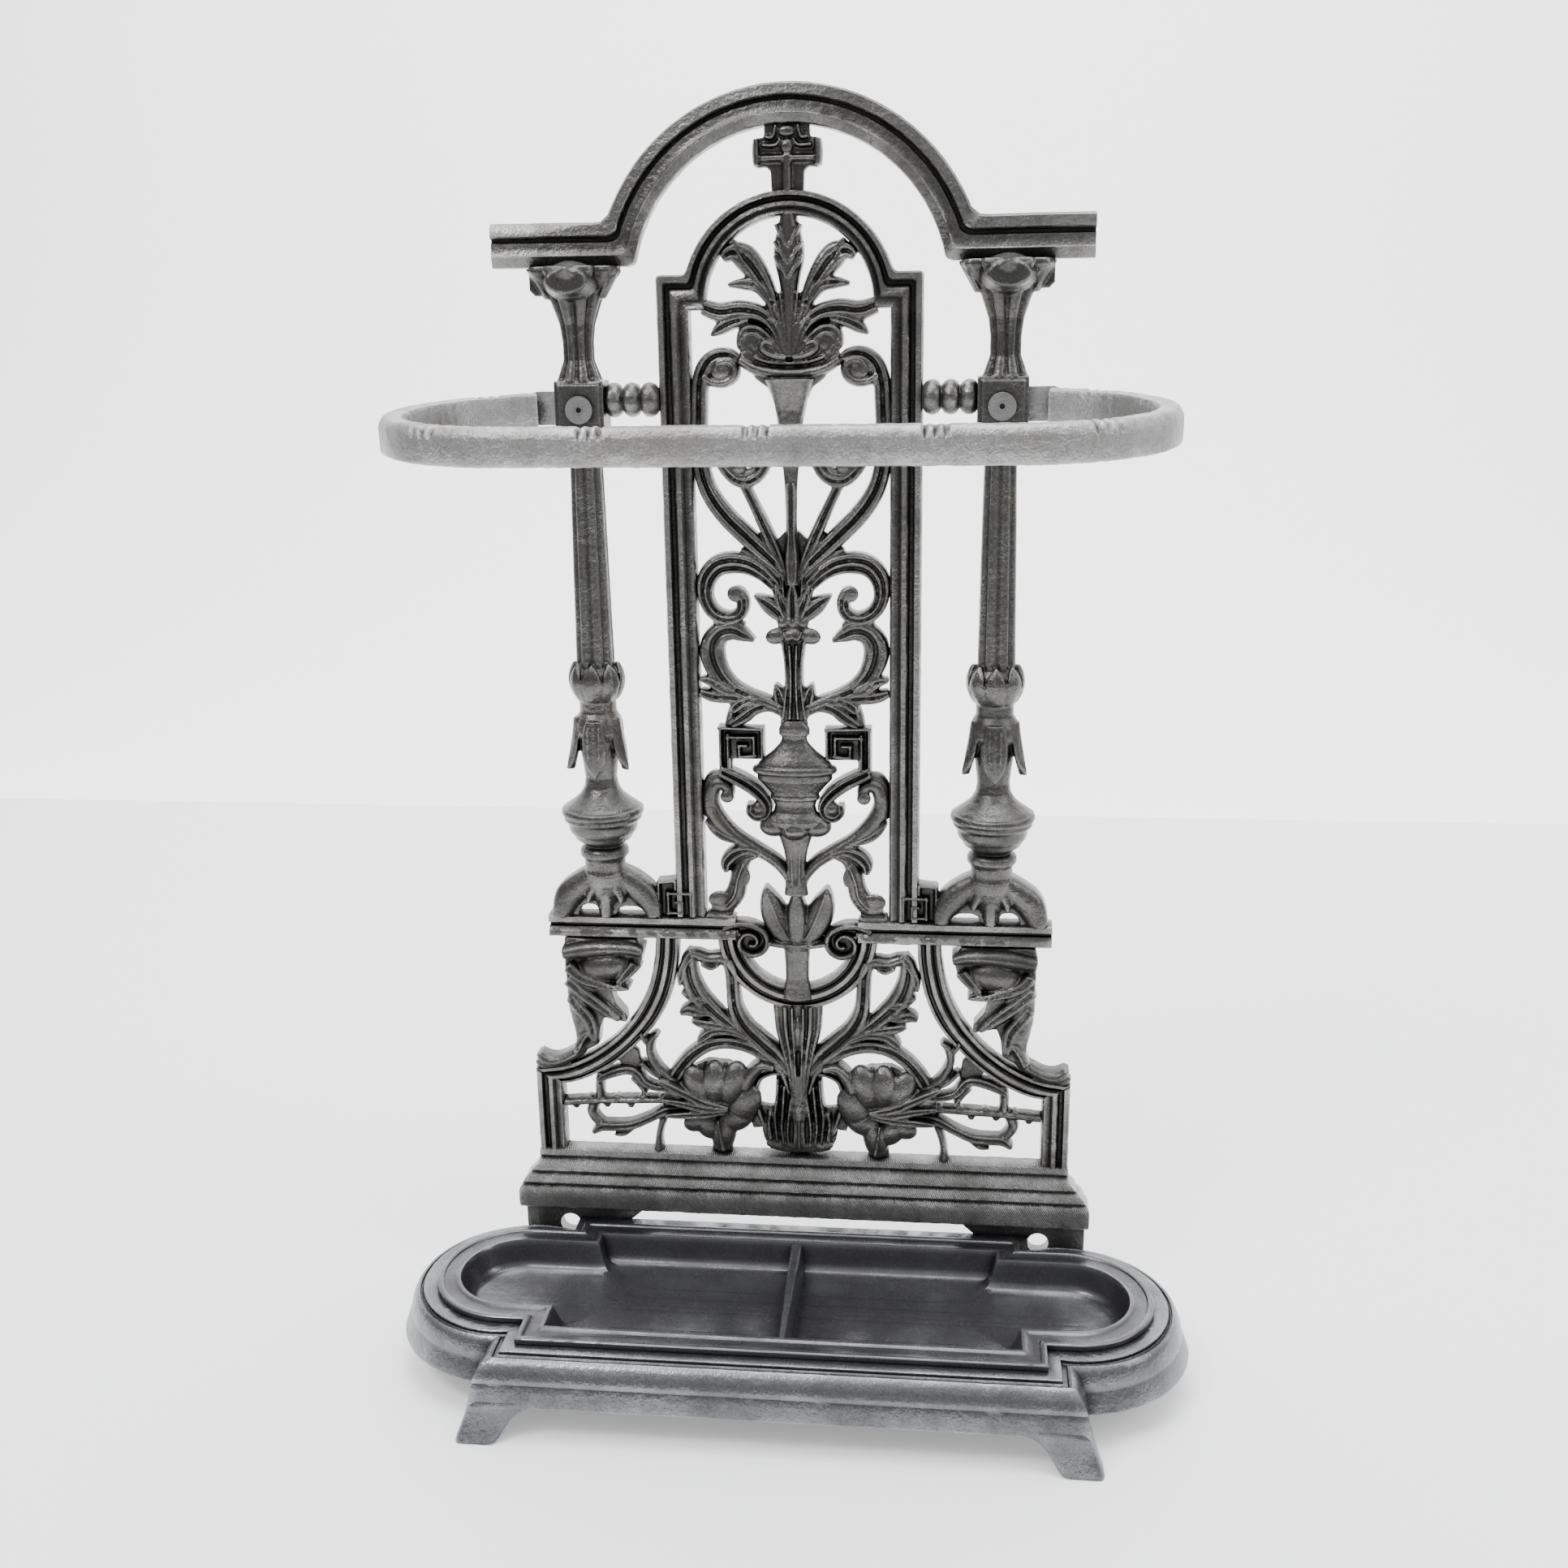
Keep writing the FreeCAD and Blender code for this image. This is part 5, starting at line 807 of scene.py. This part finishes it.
def stalks():
    """Two leafy stalks at each side of the fan."""
    cast = Cast(1.22)
    cast.ribbon([(4.6, 146, 6), (8, 160, 9), (15.4, 171.6, 12), (26, 182, 12), (35, 192, 10.4),
                 (40.6, 204, 9), (42, 217, 8), (42.6, 229, 8), (45, 238, 7)], SCROLL, 0.2)
    cast.leaf([(33, 183.6, 4), (43, 191.6, 7), (54.6, 201.4, 10), (64.6, 212, 12), (69.6, 224, 11),
               (70.6, 236, 9), (67.6, 244.6, 5)], 0.4)
    cast.rod([(44, 238, 9), (51, 238.6, 8), (58, 238.4, 7), (64.6, 240.6, 7), (69, 243, 4)], 0.4)
    cast.rod([(51, 234.6, 2), (56, 232.6, 3), (62, 235.4, 3)], 1.6)
    cast.leaf([(67, 243.6, 4), (72.4, 236, 5), (75.6, 227, 5), (76.6, 220, 1.6)], 0.8)
    cast.leaf([(58, 201, 3), (66, 201.4, 6), (72, 202.4, 7), (77, 200.6, 3)], 1.0)
    cast.leaf([(60, 209, 3), (68, 210.6, 5), (75.6, 215.6, 2)], 0.6)
    cast.leaf([(42, 190, 3), (54, 192.4, 5), (63, 193.6, 6), (69.6, 195.6, 3)], 0.6)
    cast.leaf([(34, 184.6, 3), (44, 188.6, 4.6), (55, 188.4, 5.6), (62, 184.4, 6), (65.6, 181, 3)], 1.2)
    cast.ribbon([(8, 158, 5), (15, 166, 6.4), (24, 173, 7), (35, 178.4, 7.4), (47, 180.4, 7.8),
                 (59, 178, 8), (69.6, 171, 8.2), (77.6, 161.6, 8.4), (83, 153, 8)], SCROLL, 0.2)
    pair("stalk", cast, voxel=0.75)


def flowers():
    """Flower head of long petals over folded leaves."""
    cast = Cast()
    cast.prism([(28, 150), (34, 142), (46, 134), (66, 136), (76, 148), (72, 161), (60, 167),
                (46, 166), (34, 160)], -HOLD, -1.0)
    for x, z, rx, rz, high, turn in ((44, 151.6, 10, 17.4, 7.6, 0.32), (55, 152.4, 9.6, 16.6, 8.6, 0.0),
                                     (66, 150, 9.8, 15.4, 7.4, -0.45), (74.6, 147, 5, 7, 4.0, -0.6),
                                     (36.6, 137.6, 11, 15.6, 6.0, 0.5), (43, 126.6, 13, 9, 5.6, -0.3),
                                     (50, 117, 8.4, 15, 6.2, 0.15), (60.4, 121.6, 8.6, 11, 5.2, -0.6),
                                     (68, 123.6, 9.6, 7, 4.8, -0.4)):
        cast.blob(x, z, rx, rz, high, turn)
    cast.rod([(16, 165, 5), (24.6, 165.6, 7), (31.4, 158.6, 9), (35.6, 149.6, 10)], 4.6)
    for line in (((46, 137, 3), (60, 139, 7), (72, 144.6, 7), (84, 150.6, 6), (92, 155, 3)),
                 ((46, 136, 3), (62, 135.6, 6), (76, 138.6, 6), (90, 141, 3)),
                 ((48, 134, 3), (62, 131.6, 6), (76, 130.6, 6), (88, 130, 3))):
        cast.ribbon(line, LEAF, 7.0)
    cast.rod([(50, 106, 1.6), (51.6, 117, 2.2), (53, 128, 2)], 7.4)
    cast.prism([(45, 99.5), (59, 99.5), (58, 112), (45, 112)], -HOLD, -3)
    cast.prism([(24, 120), (31, 119), (34, 134), (28, 142)], -HOLD, -2.0)
    pair("flower", cast, voxel=0.7, smooth=1)


def briars():
    """Twigs with knobs between the flower and the post."""
    cast = Cast(1.22)
    cast.rod([(78, 148, 6), (88, 155, 5.6), (94.6, 163, 5.4), (98, 172, 5), (96.6, 181, 5),
              (92, 185.6, 3)], 1.6)
    cast.rod([(96, 175, 3), (101, 180, 4), (104, 186, 3)], 0.6)
    cast.rod([(88, 153, 3), (96, 157.6, 4), (104, 165, 3)], 1.8)
    cast.rod([(68, 138.6, 6), (82, 138, 5.2), (97, 137.4, 4.6), (114, 136.6, 5), (130, 135.8, 4.4),
              (144, 134.8, 5), (157, 133.6, 5)], 0.6)
    for x, z in ((104, 139.6), (112, 133.6), (121, 139), (128, 133.4), (140, 138), (149, 132),
                 (91, 140)):
        cast.blob(x, z, 2.2, 2.2, 0.6)
    cast.ribbon([(64, 134, 5), (76, 131.6, 7), (89, 130, 6), (101, 123.6, 5.4), (113, 118.4, 6),
                 (124, 117.4, 6), (132, 117, 6), (138.6, 112.6, 3)], LEAF, 1.2)
    cast.rod([(112, 117, 5), (118, 112, 4), (124, 111.6, 2)], 0.2)
    cast.rod([(89, 128, 5), (92.6, 118, 4.4), (94.4, 109, 4.4), (94.6, 99.6, 6)], 0.0)
    cast.ribbon([(84, 147, 4), (94, 146.6, 4.6), (102, 149.6, 5), (107, 156, 6), (113, 158.6, 6),
                 (122, 156.6, 6), (130, 153, 5), (134, 150.6, 4)], LEAF, 0.6)
    cast.rod([(102, 142, 4), (106, 148, 4), (111, 153, 3.6)], -0.4)
    cast.rod([(131.6, 156, 5), (133, 147, 5.4), (133, 136, 5)], -0.4)
    cast.rod([(136.6, 134, 6), (139, 127, 6.4), (135.4, 120.6, 6), (130, 117, 5)], 0.0)
    cast.prism([(104, 160), (118, 162), (122, 166), (112, 176), (106, 172)], -HOLD, -3)
    pair("briar", cast, voxel=0.75)


# ---------------------------------------------------------------- hoop
HOOP_R = 82.0
HOOP_CX = 125.5
HOOP_CY = -79.5
HOOP_Z = 584.0
HOOP_TILT = math.radians(3.5)
HOOP_PIVOT = 7.0
NOTCHES = (-83, 0, 87)


def hoop_path(step=1.25):
    """Centre line round the hoop from its right end to its left end: x, y, outward direction."""
    start = math.degrees(math.acos((150 - HOOP_CX) / HOOP_R))
    right = []
    count = int(math.radians(90 + start) * HOOP_R / step)
    for a in np.radians(np.linspace(start, -90, count)):
        right.append((HOOP_CX + HOOP_R * math.cos(a), HOOP_CY + HOOP_R * math.sin(a),
                      math.cos(a), math.sin(a)))
    middle = [(x, HOOP_CY - HOOP_R, 0.0, -1.0)
              for x in np.arange(HOOP_CX - step, -HOOP_CX, -step)]
    left = [(-x, y, -u, v) for x, y, u, v in reversed(right)]
    return right + middle + left


def notch(x, y):
    """How deeply the top edge is filed at a point of the hoop."""
    depth = 0.0
    for centre in NOTCHES + (-168, 168):
        for k in (-5.2, 0, 5.2):
            if y < -100:
                depth = max(depth, 2.1 * math.exp(-((x - centre - k) / 1.2) ** 2))
    for centre in (176, -176):
        for k in (-5, 0, 5):
            if y > -20:
                depth = max(depth, 2.0 * math.exp(-((x - centre - k) / 1.4) ** 2))
    return depth


def hoop():
    """Tilted hoop with filed notches and a lug at each end."""
    # (outward, up, share of the notch) round the bar's section
    section = [(-6.5, -9.4, 0), (-5.9, -9.75, 0), (4.2, -9.75, 0), (5.9, -9.0, 0), (6.5, -7.6, 0),
               (6.5, -2, 0), (6.5, 3.6, 0.1), (6.2, 5.4, 0.7), (4.6, 8.2, 1), (3.2, 9.4, 1),
               (1.6, 9.75, 1), (-3.6, 9.75, 0.5), (-5.8, 9.0, 0.2), (-6.5, 7.4, 0), (-6.5, -2, 0)]
    cos_t, sin_t = math.cos(HOOP_TILT), math.sin(HOOP_TILT)
    rings = []
    for x, y, u, v in hoop_path():
        cut = notch(x, y)
        wave = noise.noise(Vector((x * 0.02, y * 0.02, 0)))
        ring = []
        for out, up, share in section:
            out += 0.25 * wave - 0.6 * cut * share * (out > 3)
            up += 0.3 * wave * (up > 0) - cut * share
            px, py = x + u * out, y + v * out
            dy = py - HOOP_PIVOT
            ring.append((px, -(HOOP_PIVOT + dy * cos_t - up * sin_t),
                         HOOP_Z + dy * sin_t + up * cos_t))
        rings.append(ring)
    cast = Cast()
    cast.tube(rings)
    for s in (1, -1):
        lug = [(s * 113, 575.4), (s * 113, 593), (s * 115, 594), (s * 152, 594), (s * 157, 592),
               (s * 157, 576.4), (s * 152, 574.6), (s * 115, 574.4)]
        cast.prism(lug, -BACK, -5.0)
    make("hoop", cast, ["hoop"], slot="hoop_iron", rough=0.32, crease=32)


# ---------------------------------------------------------------- base and tray
def outline(front_half, front, lobe_x, lobe_y, radius, rear_half, rear, n=10):
    """Straight front and rear with a round lobe at each end; equal point counts for any size."""
    meet_f = lobe_y - math.sqrt(max(radius ** 2 - (front_half - lobe_x) ** 2, 0))
    meet_r = lobe_y + math.sqrt(max(radius ** 2 - (rear_half - lobe_x) ** 2, 0))
    a0 = math.atan2(meet_f - lobe_y, front_half - lobe_x)
    a1 = math.atan2(meet_r - lobe_y, rear_half - lobe_x)
    right = [(x, front) for x in np.linspace(0, front_half, 5 * n)[:-1]]
    right += [(front_half, y) for y in np.linspace(front, meet_f, n)[:-1]]
    right += [(lobe_x + radius * math.cos(a), lobe_y + radius * math.sin(a))
              for a in np.linspace(a0, a1, 6 * n)]
    right += [(rear_half, y) for y in np.linspace(meet_r, rear, n)[1:-1]]
    right += [(x, rear) for x in np.linspace(rear_half, 0, 5 * n)]
    left = [(-x, y) for x, y in reversed(right[1:-1])]
    return right + left


TRAY_FRONT, TRAY_HALF, TRAY_REAR_HALF, TRAY_REAR = 146.0, 157.0, 144.0, 12.0
TRAY_FLOOR, TRAY_UNDER, FLOOR_INSET = 33.0, 29.6, 45
LOBE_X, LOBE_Y, TRAY_LOBE = 173.0, -74.0, 51.0


def tray_ring(inset, n=10):
    """Outline of the tray: the lobes run straight into the middle."""
    half, front = TRAY_HALF - inset, inset - TRAY_FRONT
    radius = TRAY_LOBE - inset
    rear_half, rear = TRAY_REAR_HALF - inset, -TRAY_REAR - inset
    right = [(x, front) for x in np.linspace(0, half, 5 * n)[:-1]]
    right += [(half, y) for y in np.linspace(front, LOBE_Y - radius, n)[:-1]]
    right += [(x, LOBE_Y - radius) for x in np.linspace(half, LOBE_X, n)[:-1]]
    right += [(LOBE_X + radius * math.cos(a), LOBE_Y + radius * math.sin(a))
              for a in np.linspace(-math.pi / 2, math.pi / 2, 4 * n + 2)]
    right += [(x, LOBE_Y + radius) for x in np.linspace(LOBE_X, rear_half, n)[1:]]
    right += [(rear_half, y) for y in np.linspace(LOBE_Y + radius, rear, n)[1:-1]]
    right += [(x, rear) for x in np.linspace(rear_half, 0, 5 * n)]
    return right + [(-x, y) for x, y in reversed(right[1:-1])]


def level_ring(points, z):
    """Outline in plan lifted to a height."""
    return [(x, -y, z) for x, y in points]


def fill(cast, ring, z):
    """Closes the middle of a basin with strips between matching points of right and left."""
    n = len(ring)
    half = n // 2
    verts = [(x, -y, z) for x, y in ring]
    faces = []
    for i in range(half - 1):
        j, k = i, (n - i) % n
        a, b = i + 1, (n - i - 1) % n
        face = (j, a, b, k) if k != j else (j, a, b)
        if len(set(face)) > 2:
            faces.append(tuple(dict.fromkeys(face)))
    cast.add(verts, faces)


def drip_tray():
    """Dished tray with a rib across it."""
    rows = [(0.6, 49.0), (0, 49.4), (0, 52.2), (0.5, 52.8), (1.2, 53.0), (3.0, 53.0), (3.7, 52.7),
            (4.2, 52.0), (5, 51.8), (10.6, 51.8), (11.4, 52.1), (12.2, 52.8), (13, 53.0), (14.4, 53.0),
            (14.8, 52.4), (15.8, 49.5), (17.2, 44.6), (18.6, 40.4), (20, 37.4), (22.5, 35.8),
            (26, 34.7), (31, 33.8), (38, 33.2), (FLOOR_INSET, TRAY_FLOOR)]
    cast = Cast()
    rings = [level_ring(tray_ring(inset), z) for inset, z in rows]
    under = [(FLOOR_INSET, TRAY_UNDER), (24, TRAY_UNDER), (18, TRAY_UNDER), (16.4, 31), (15.4, 36),
             (12, 48.6), (11.4, 49.0)]
    low = [level_ring(tray_ring(inset), z) for inset, z in under]
    cast.tube(low + rings, caps=False)
    for z in (TRAY_FLOOR, TRAY_UNDER):
        fill(cast, tray_ring(FLOOR_INSET), z)
    cast.tube([low[-1], rings[0]], caps=False)
    # rib across the middle, small gussets near the front corners
    rib = []
    for y, top, wide in ((-26, 52.4, 5.4), (-36, 51.4, 5.2), (-60, 50.0, 4.6),
                         (-95, 47.8, 3.8), (-120, 45.4, 3.2), (-130, 44.2, 3.0)):
        rib.append([(-wide - 2.6, -y, 32.2), (wide + 2.6, -y, 32.2), (wide + 0.8, -y, 34.4),
                    (wide * 0.55 + 0.4, -y, top - 1), (wide * 0.4, -y, top),
                    (-wide * 0.4, -y, top), (-wide * 0.55 - 0.4, -y, top - 1),
                    (-wide - 0.8, -y, 34.4)])
    cast.tube(rib)
    for s in (-1, 1):
        gusset = [[(s * 139, 131, 33), (s * 127, 131, 33), (s * 139, 131, 46)],
                  [(s * 139, 122, 33), (s * 130, 124, 33), (s * 139, 124, 43)]]
        cast.tube(gusset)
    make("drip_tray", cast, ["drip_tray"], slot="tray_iron", body="tray", rough=0.1, crease=36)


def base_ring(share, inset=0.0):
    """Outline between the rim (0), the outer edge (1) and the skirt's foot (2)."""
    rim = (160.0, 149.0, 57.0)
    edge = (179.0, 166.0, 68.5)
    skirt = (181.0, 169.0, 73.0)
    a, b, t = (rim, edge, share) if share <= 1 else (edge, skirt, share - 1)
    half, front, lobe = (p + (q - p) * t - inset for p, q in zip(a, b))
    return outline(half, -front, LOBE_X, LOBE_Y, lobe, 150.0 - inset, -inset)


def foot(cast, s, x_out, x_low, y_face, y_low, deep, wide):
    """Splayed foot with a hollow curve on its inner side."""
    rows = [(29, 44), (24.5, 42), (22.4, 38.6), (20.6, 34.4), (18, 30.8), (14.6, 28), (11, 26.4),
            (7, 25.6), (3.4, 25), (1.2, 24.2), (0.4, 23), (0, 21.5)]
    rings = []
    for z, w in rows:
        t = 1 - z / 24.0
        x1 = x_out + (x_low - x_out) * max(t, 0) ** 1.3
        y1 = y_face + (y_low - y_face) * max(t, 0) ** 1.4
        w = w * wide / 25.0
        if z > 23:
            x1 -= 4 * (z - 23) / 6 * 1.5
            y1 += 2.2 * (z - 23) / 6 * 1.5
        shrink = (0.0, 0.35, 1.0, 1.8)[sum(z < limit for limit in (2, 1, 0.2))]
        ring = []
        r = 4.0
        corners = [(x1 - w + r, y1 + r, 180), (x1 - r, y1 + r, 270), (x1 - r, y1 + deep - r, 0),
                   (x1 - w + r, y1 + deep - r, 90)]
        for cx, cy, a0 in corners:
            for a in np.radians(np.linspace(a0, a0 + 90, 5)):
                ring.append((s * (cx + (r - shrink) * math.cos(a)),
                             -(cy + (r - shrink) * math.sin(a)), z))
        rings.append(ring)
    cast.tube(rings)


def base():
    """Hollow rim and skirt with four feet."""
    well = tray_ring(7.0)
    rows = [(0.0, 49.0), (0.20, 49.0), (0.24, 48.6), (0.26, 46.8), (0.34, 46.0), (0.40, 46.0),
            (0.44, 47.2), (0.52, 47.6), (0.62, 46.8), (0.74, 44.6), (0.86, 41.2), (0.94, 38.0),
            (0.98, 35.6), (0.965, 34.6), (0.99, 33.6), (1.3, 30.6), (1.6, 26.6), (1.9, 23.0),
            (1.96, 22.2)]
    cast = Cast()
    top = [level_ring(well, 45.0), level_ring(well, 48.6), level_ring(tray_ring(6.4), 49.0)]
    outside = [level_ring(base_ring(share), z) for share, z in rows]
    inside = [level_ring(base_ring(share, 4.5), z)
              for share, z in ((1.94, 22.0), (1.5, 27), (1.0, 33.4), (0.9, 36.4), (0.7, 40.4),
                               (0.4, 43.6), (0.05, 45.0))]
    cast.tube(top + outside + inside, caps=False)
    cast.tube([inside[-1], top[0]], caps=False)
    for s in (-1, 1):
        foot(cast, s, 181.3, 189.5, -169.2, -176, 16, 26)
        foot(cast, s, 150.5, 158, -14, -14, 14, 24)
    make("base", cast, ["base"], slot="base_iron", rough=0.16, crease=34)


def carried():
    """CAD nodes that keep their own mesh, with finished materials."""
    fasteners = [f"{end}_{kind}" for end in ("hoop", "base") for kind in ("bolts", "nuts", "washers")]
    for slot, names in (("back_iron", ("right_leg", "left_leg")), ("fastener_steel", fasteners)):
        for name in names:
            coat(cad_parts[name], MATERIALS[slot])


# ---------------------------------------------------------------- stage
def plain(name, color, rough=0.9, glow=0.0):
    """Paper of one even colour."""
    mat = bpy.data.materials.new(name)
    mat.use_nodes = True
    skin = mat.node_tree.nodes["Principled BSDF"]
    skin.inputs["Base Color"].default_value = (*color, 1)
    skin.inputs["Roughness"].default_value = rough
    skin.inputs["Emission Color"].default_value = (1, 1, 1, 1)
    skin.inputs["Emission Strength"].default_value = glow
    return mat


def floor_paper():
    """Painted pool of light on the floor: white and glowing round the object, fading to grey far away."""
    mat = plain("floor_paper", (0.95, 0.95, 0.95), glow=0.3)
    tree = mat.node_tree
    skin = tree.nodes["Principled BSDF"]
    where = tree.nodes.new("ShaderNodeTexCoord")
    shift = tree.nodes.new("ShaderNodeVectorMath")
    shift.inputs[1].default_value = (0.0, -0.6, 0.0)
    far = tree.nodes.new("ShaderNodeVectorMath")
    far.operation = "LENGTH"
    # painted pool of light: colour and glow fade from white near the stand to grey far off
    painted_light_pool = tree.nodes.new("ShaderNodeMapRange")
    painted_light_pool.interpolation_type = "SMOOTHSTEP"
    for key, value in (("From Min", 1.6), ("From Max", 3.2), ("To Min", 0.95), ("To Max", 0.2)):
        painted_light_pool.inputs[key].default_value = value
    tree.links.new(where.outputs["Object"], shift.inputs[0])
    tree.links.new(shift.outputs["Vector"], far.inputs[0])
    tree.links.new(far.outputs["Value"], painted_light_pool.inputs["Value"])
    tree.links.new(painted_light_pool.outputs["Result"], skin.inputs["Base Color"])
    tree.links.new(painted_light_pool.outputs["Result"], skin.inputs["Emission Color"])
    return mat


def lamp(name, place, target, size, power, color=(1, 1, 1)):
    """Rectangular lamp aimed at a point."""
    data = bpy.data.lights.new(name, "AREA")
    data.shape = "RECTANGLE"
    data.size, data.size_y = size
    data.energy = power
    data.color = color
    item = bpy.data.objects.new(name, data)
    item.location = place
    item.rotation_euler = (Vector(target) - Vector(place)).to_track_quat("-Z", "Y").to_euler()
    bpy.context.scene.collection.objects.link(item)


def stage():
    """Floor, backdrop, sky and lamps."""
    # the floor sweeps up behind into the backdrop
    reach, bend_y, bend, drop_top = 8.0, 1.2, 1.0, 5.0
    rows = [(-reach, 0.0), (bend_y, 0.0)]
    rows += [(bend_y + bend * math.sin(a), bend - bend * math.cos(a))
             for a in np.linspace(0.1, math.pi / 2, 14)]
    rows += [(bend_y + bend, drop_top)]
    mesh = bpy.data.meshes.new("floor")
    verts = [(x, y, z) for y, z in rows for x in (-reach, reach)]
    faces = [(2 * i, 2 * i + 1, 2 * i + 3, 2 * i + 2) for i in range(len(rows) - 1)]
    mesh.from_pydata(verts, [], faces)
    mesh.shade_smooth()
    item = bpy.data.objects.new("floor", mesh)
    bpy.context.scene.collection.objects.link(item)
    mesh.materials.append(floor_paper())
    mesh.materials.append(plain("drop_paper", (0.93, 0.93, 0.93), glow=1.0))
    for face in mesh.polygons[1:]:
        face.material_index = 1
    world = bpy.data.worlds.new("sky")
    bpy.context.scene.world = world
    world.use_nodes = True
    tree = world.node_tree
    place = tree.nodes.new("ShaderNodeTexCoord")
    split = tree.nodes.new("ShaderNodeSeparateXYZ")
    ramp = tree.nodes.new("ShaderNodeValToRGB")
    tree.links.new(place.outputs["Generated"], split.inputs[0])
    tree.links.new(split.outputs["Z"], ramp.inputs["Fac"])
    ramp.color_ramp.elements[0].position = 0.0
    ramp.color_ramp.elements[0].color = (0.20, 0.20, 0.195, 1)
    ramp.color_ramp.elements[1].position = 0.75
    ramp.color_ramp.elements[1].color = (1.6, 1.64, 1.7, 1)
    for at, grey in ((0.05, 0.22), (0.22, 0.36), (0.45, 0.75)):
        ramp.color_ramp.elements.new(at).color = (grey, grey, grey * 1.02, 1)
    background = tree.nodes["Background"]
    tree.links.new(ramp.outputs["Color"], background.inputs["Color"])
    background.inputs["Strength"].default_value = 0.95
    lamp("key", (-0.9, -1.0, 2.0), (0, 0, 0.4), (0.7, 0.5), 24)
    lamp("top", (0.1, 0.2, 2.4), (0, 0, 0.3), (2.0, 1.4), 60, (0.97, 0.985, 1))
    lamp("side", (1.9, -0.5, 1.4), (0, 0, 0.4), (0.4, 1.4), 14)
    # behind the stand and turned away from it, so that it lights the backdrop alone
    lamp("drop", (0, 0.9, 2.2), (0, 2.2, 1.6), (3.5, 0.5), 45)


def camera():
    """Camera above the stand's right half, turned a little to the left and down."""
    place = Vector((0.100413, -0.892314, 0.632035))
    yaw, pitch, roll = -0.110, -0.275, -0.015
    forward = Vector((math.sin(yaw) * math.cos(pitch), math.cos(yaw) * math.cos(pitch),
                      math.sin(pitch)))
    right = Vector((math.cos(yaw), -math.sin(yaw), 0))
    up = right.cross(forward)
    r2 = math.cos(roll) * right + math.sin(roll) * up
    u2 = -math.sin(roll) * right + math.cos(roll) * up
    turn = Matrix((r2, u2, -forward)).transposed().to_4x4()
    data = bpy.data.cameras.new("camera")
    data.sensor_width = 36.0
    data.lens = 37.65
    data.dof.use_dof = False
    item = bpy.data.objects.new("camera", data)
    item.matrix_world = Matrix.Translation(place) @ turn
    bpy.context.scene.collection.objects.link(item)
    bpy.context.scene.camera = item


def build():
    """Every piece of the stand."""
    for piece in (rails, plinth, key_blocks, column, console, cross_link, bouquet, lyres, c_scrolls,
                  vase, acanthus, key_squares, urn, branches, tulip, palmette, stalks, flowers,
                  briars, hoop, drip_tray, base, carried):
        piece()


build()
stage()
camera()
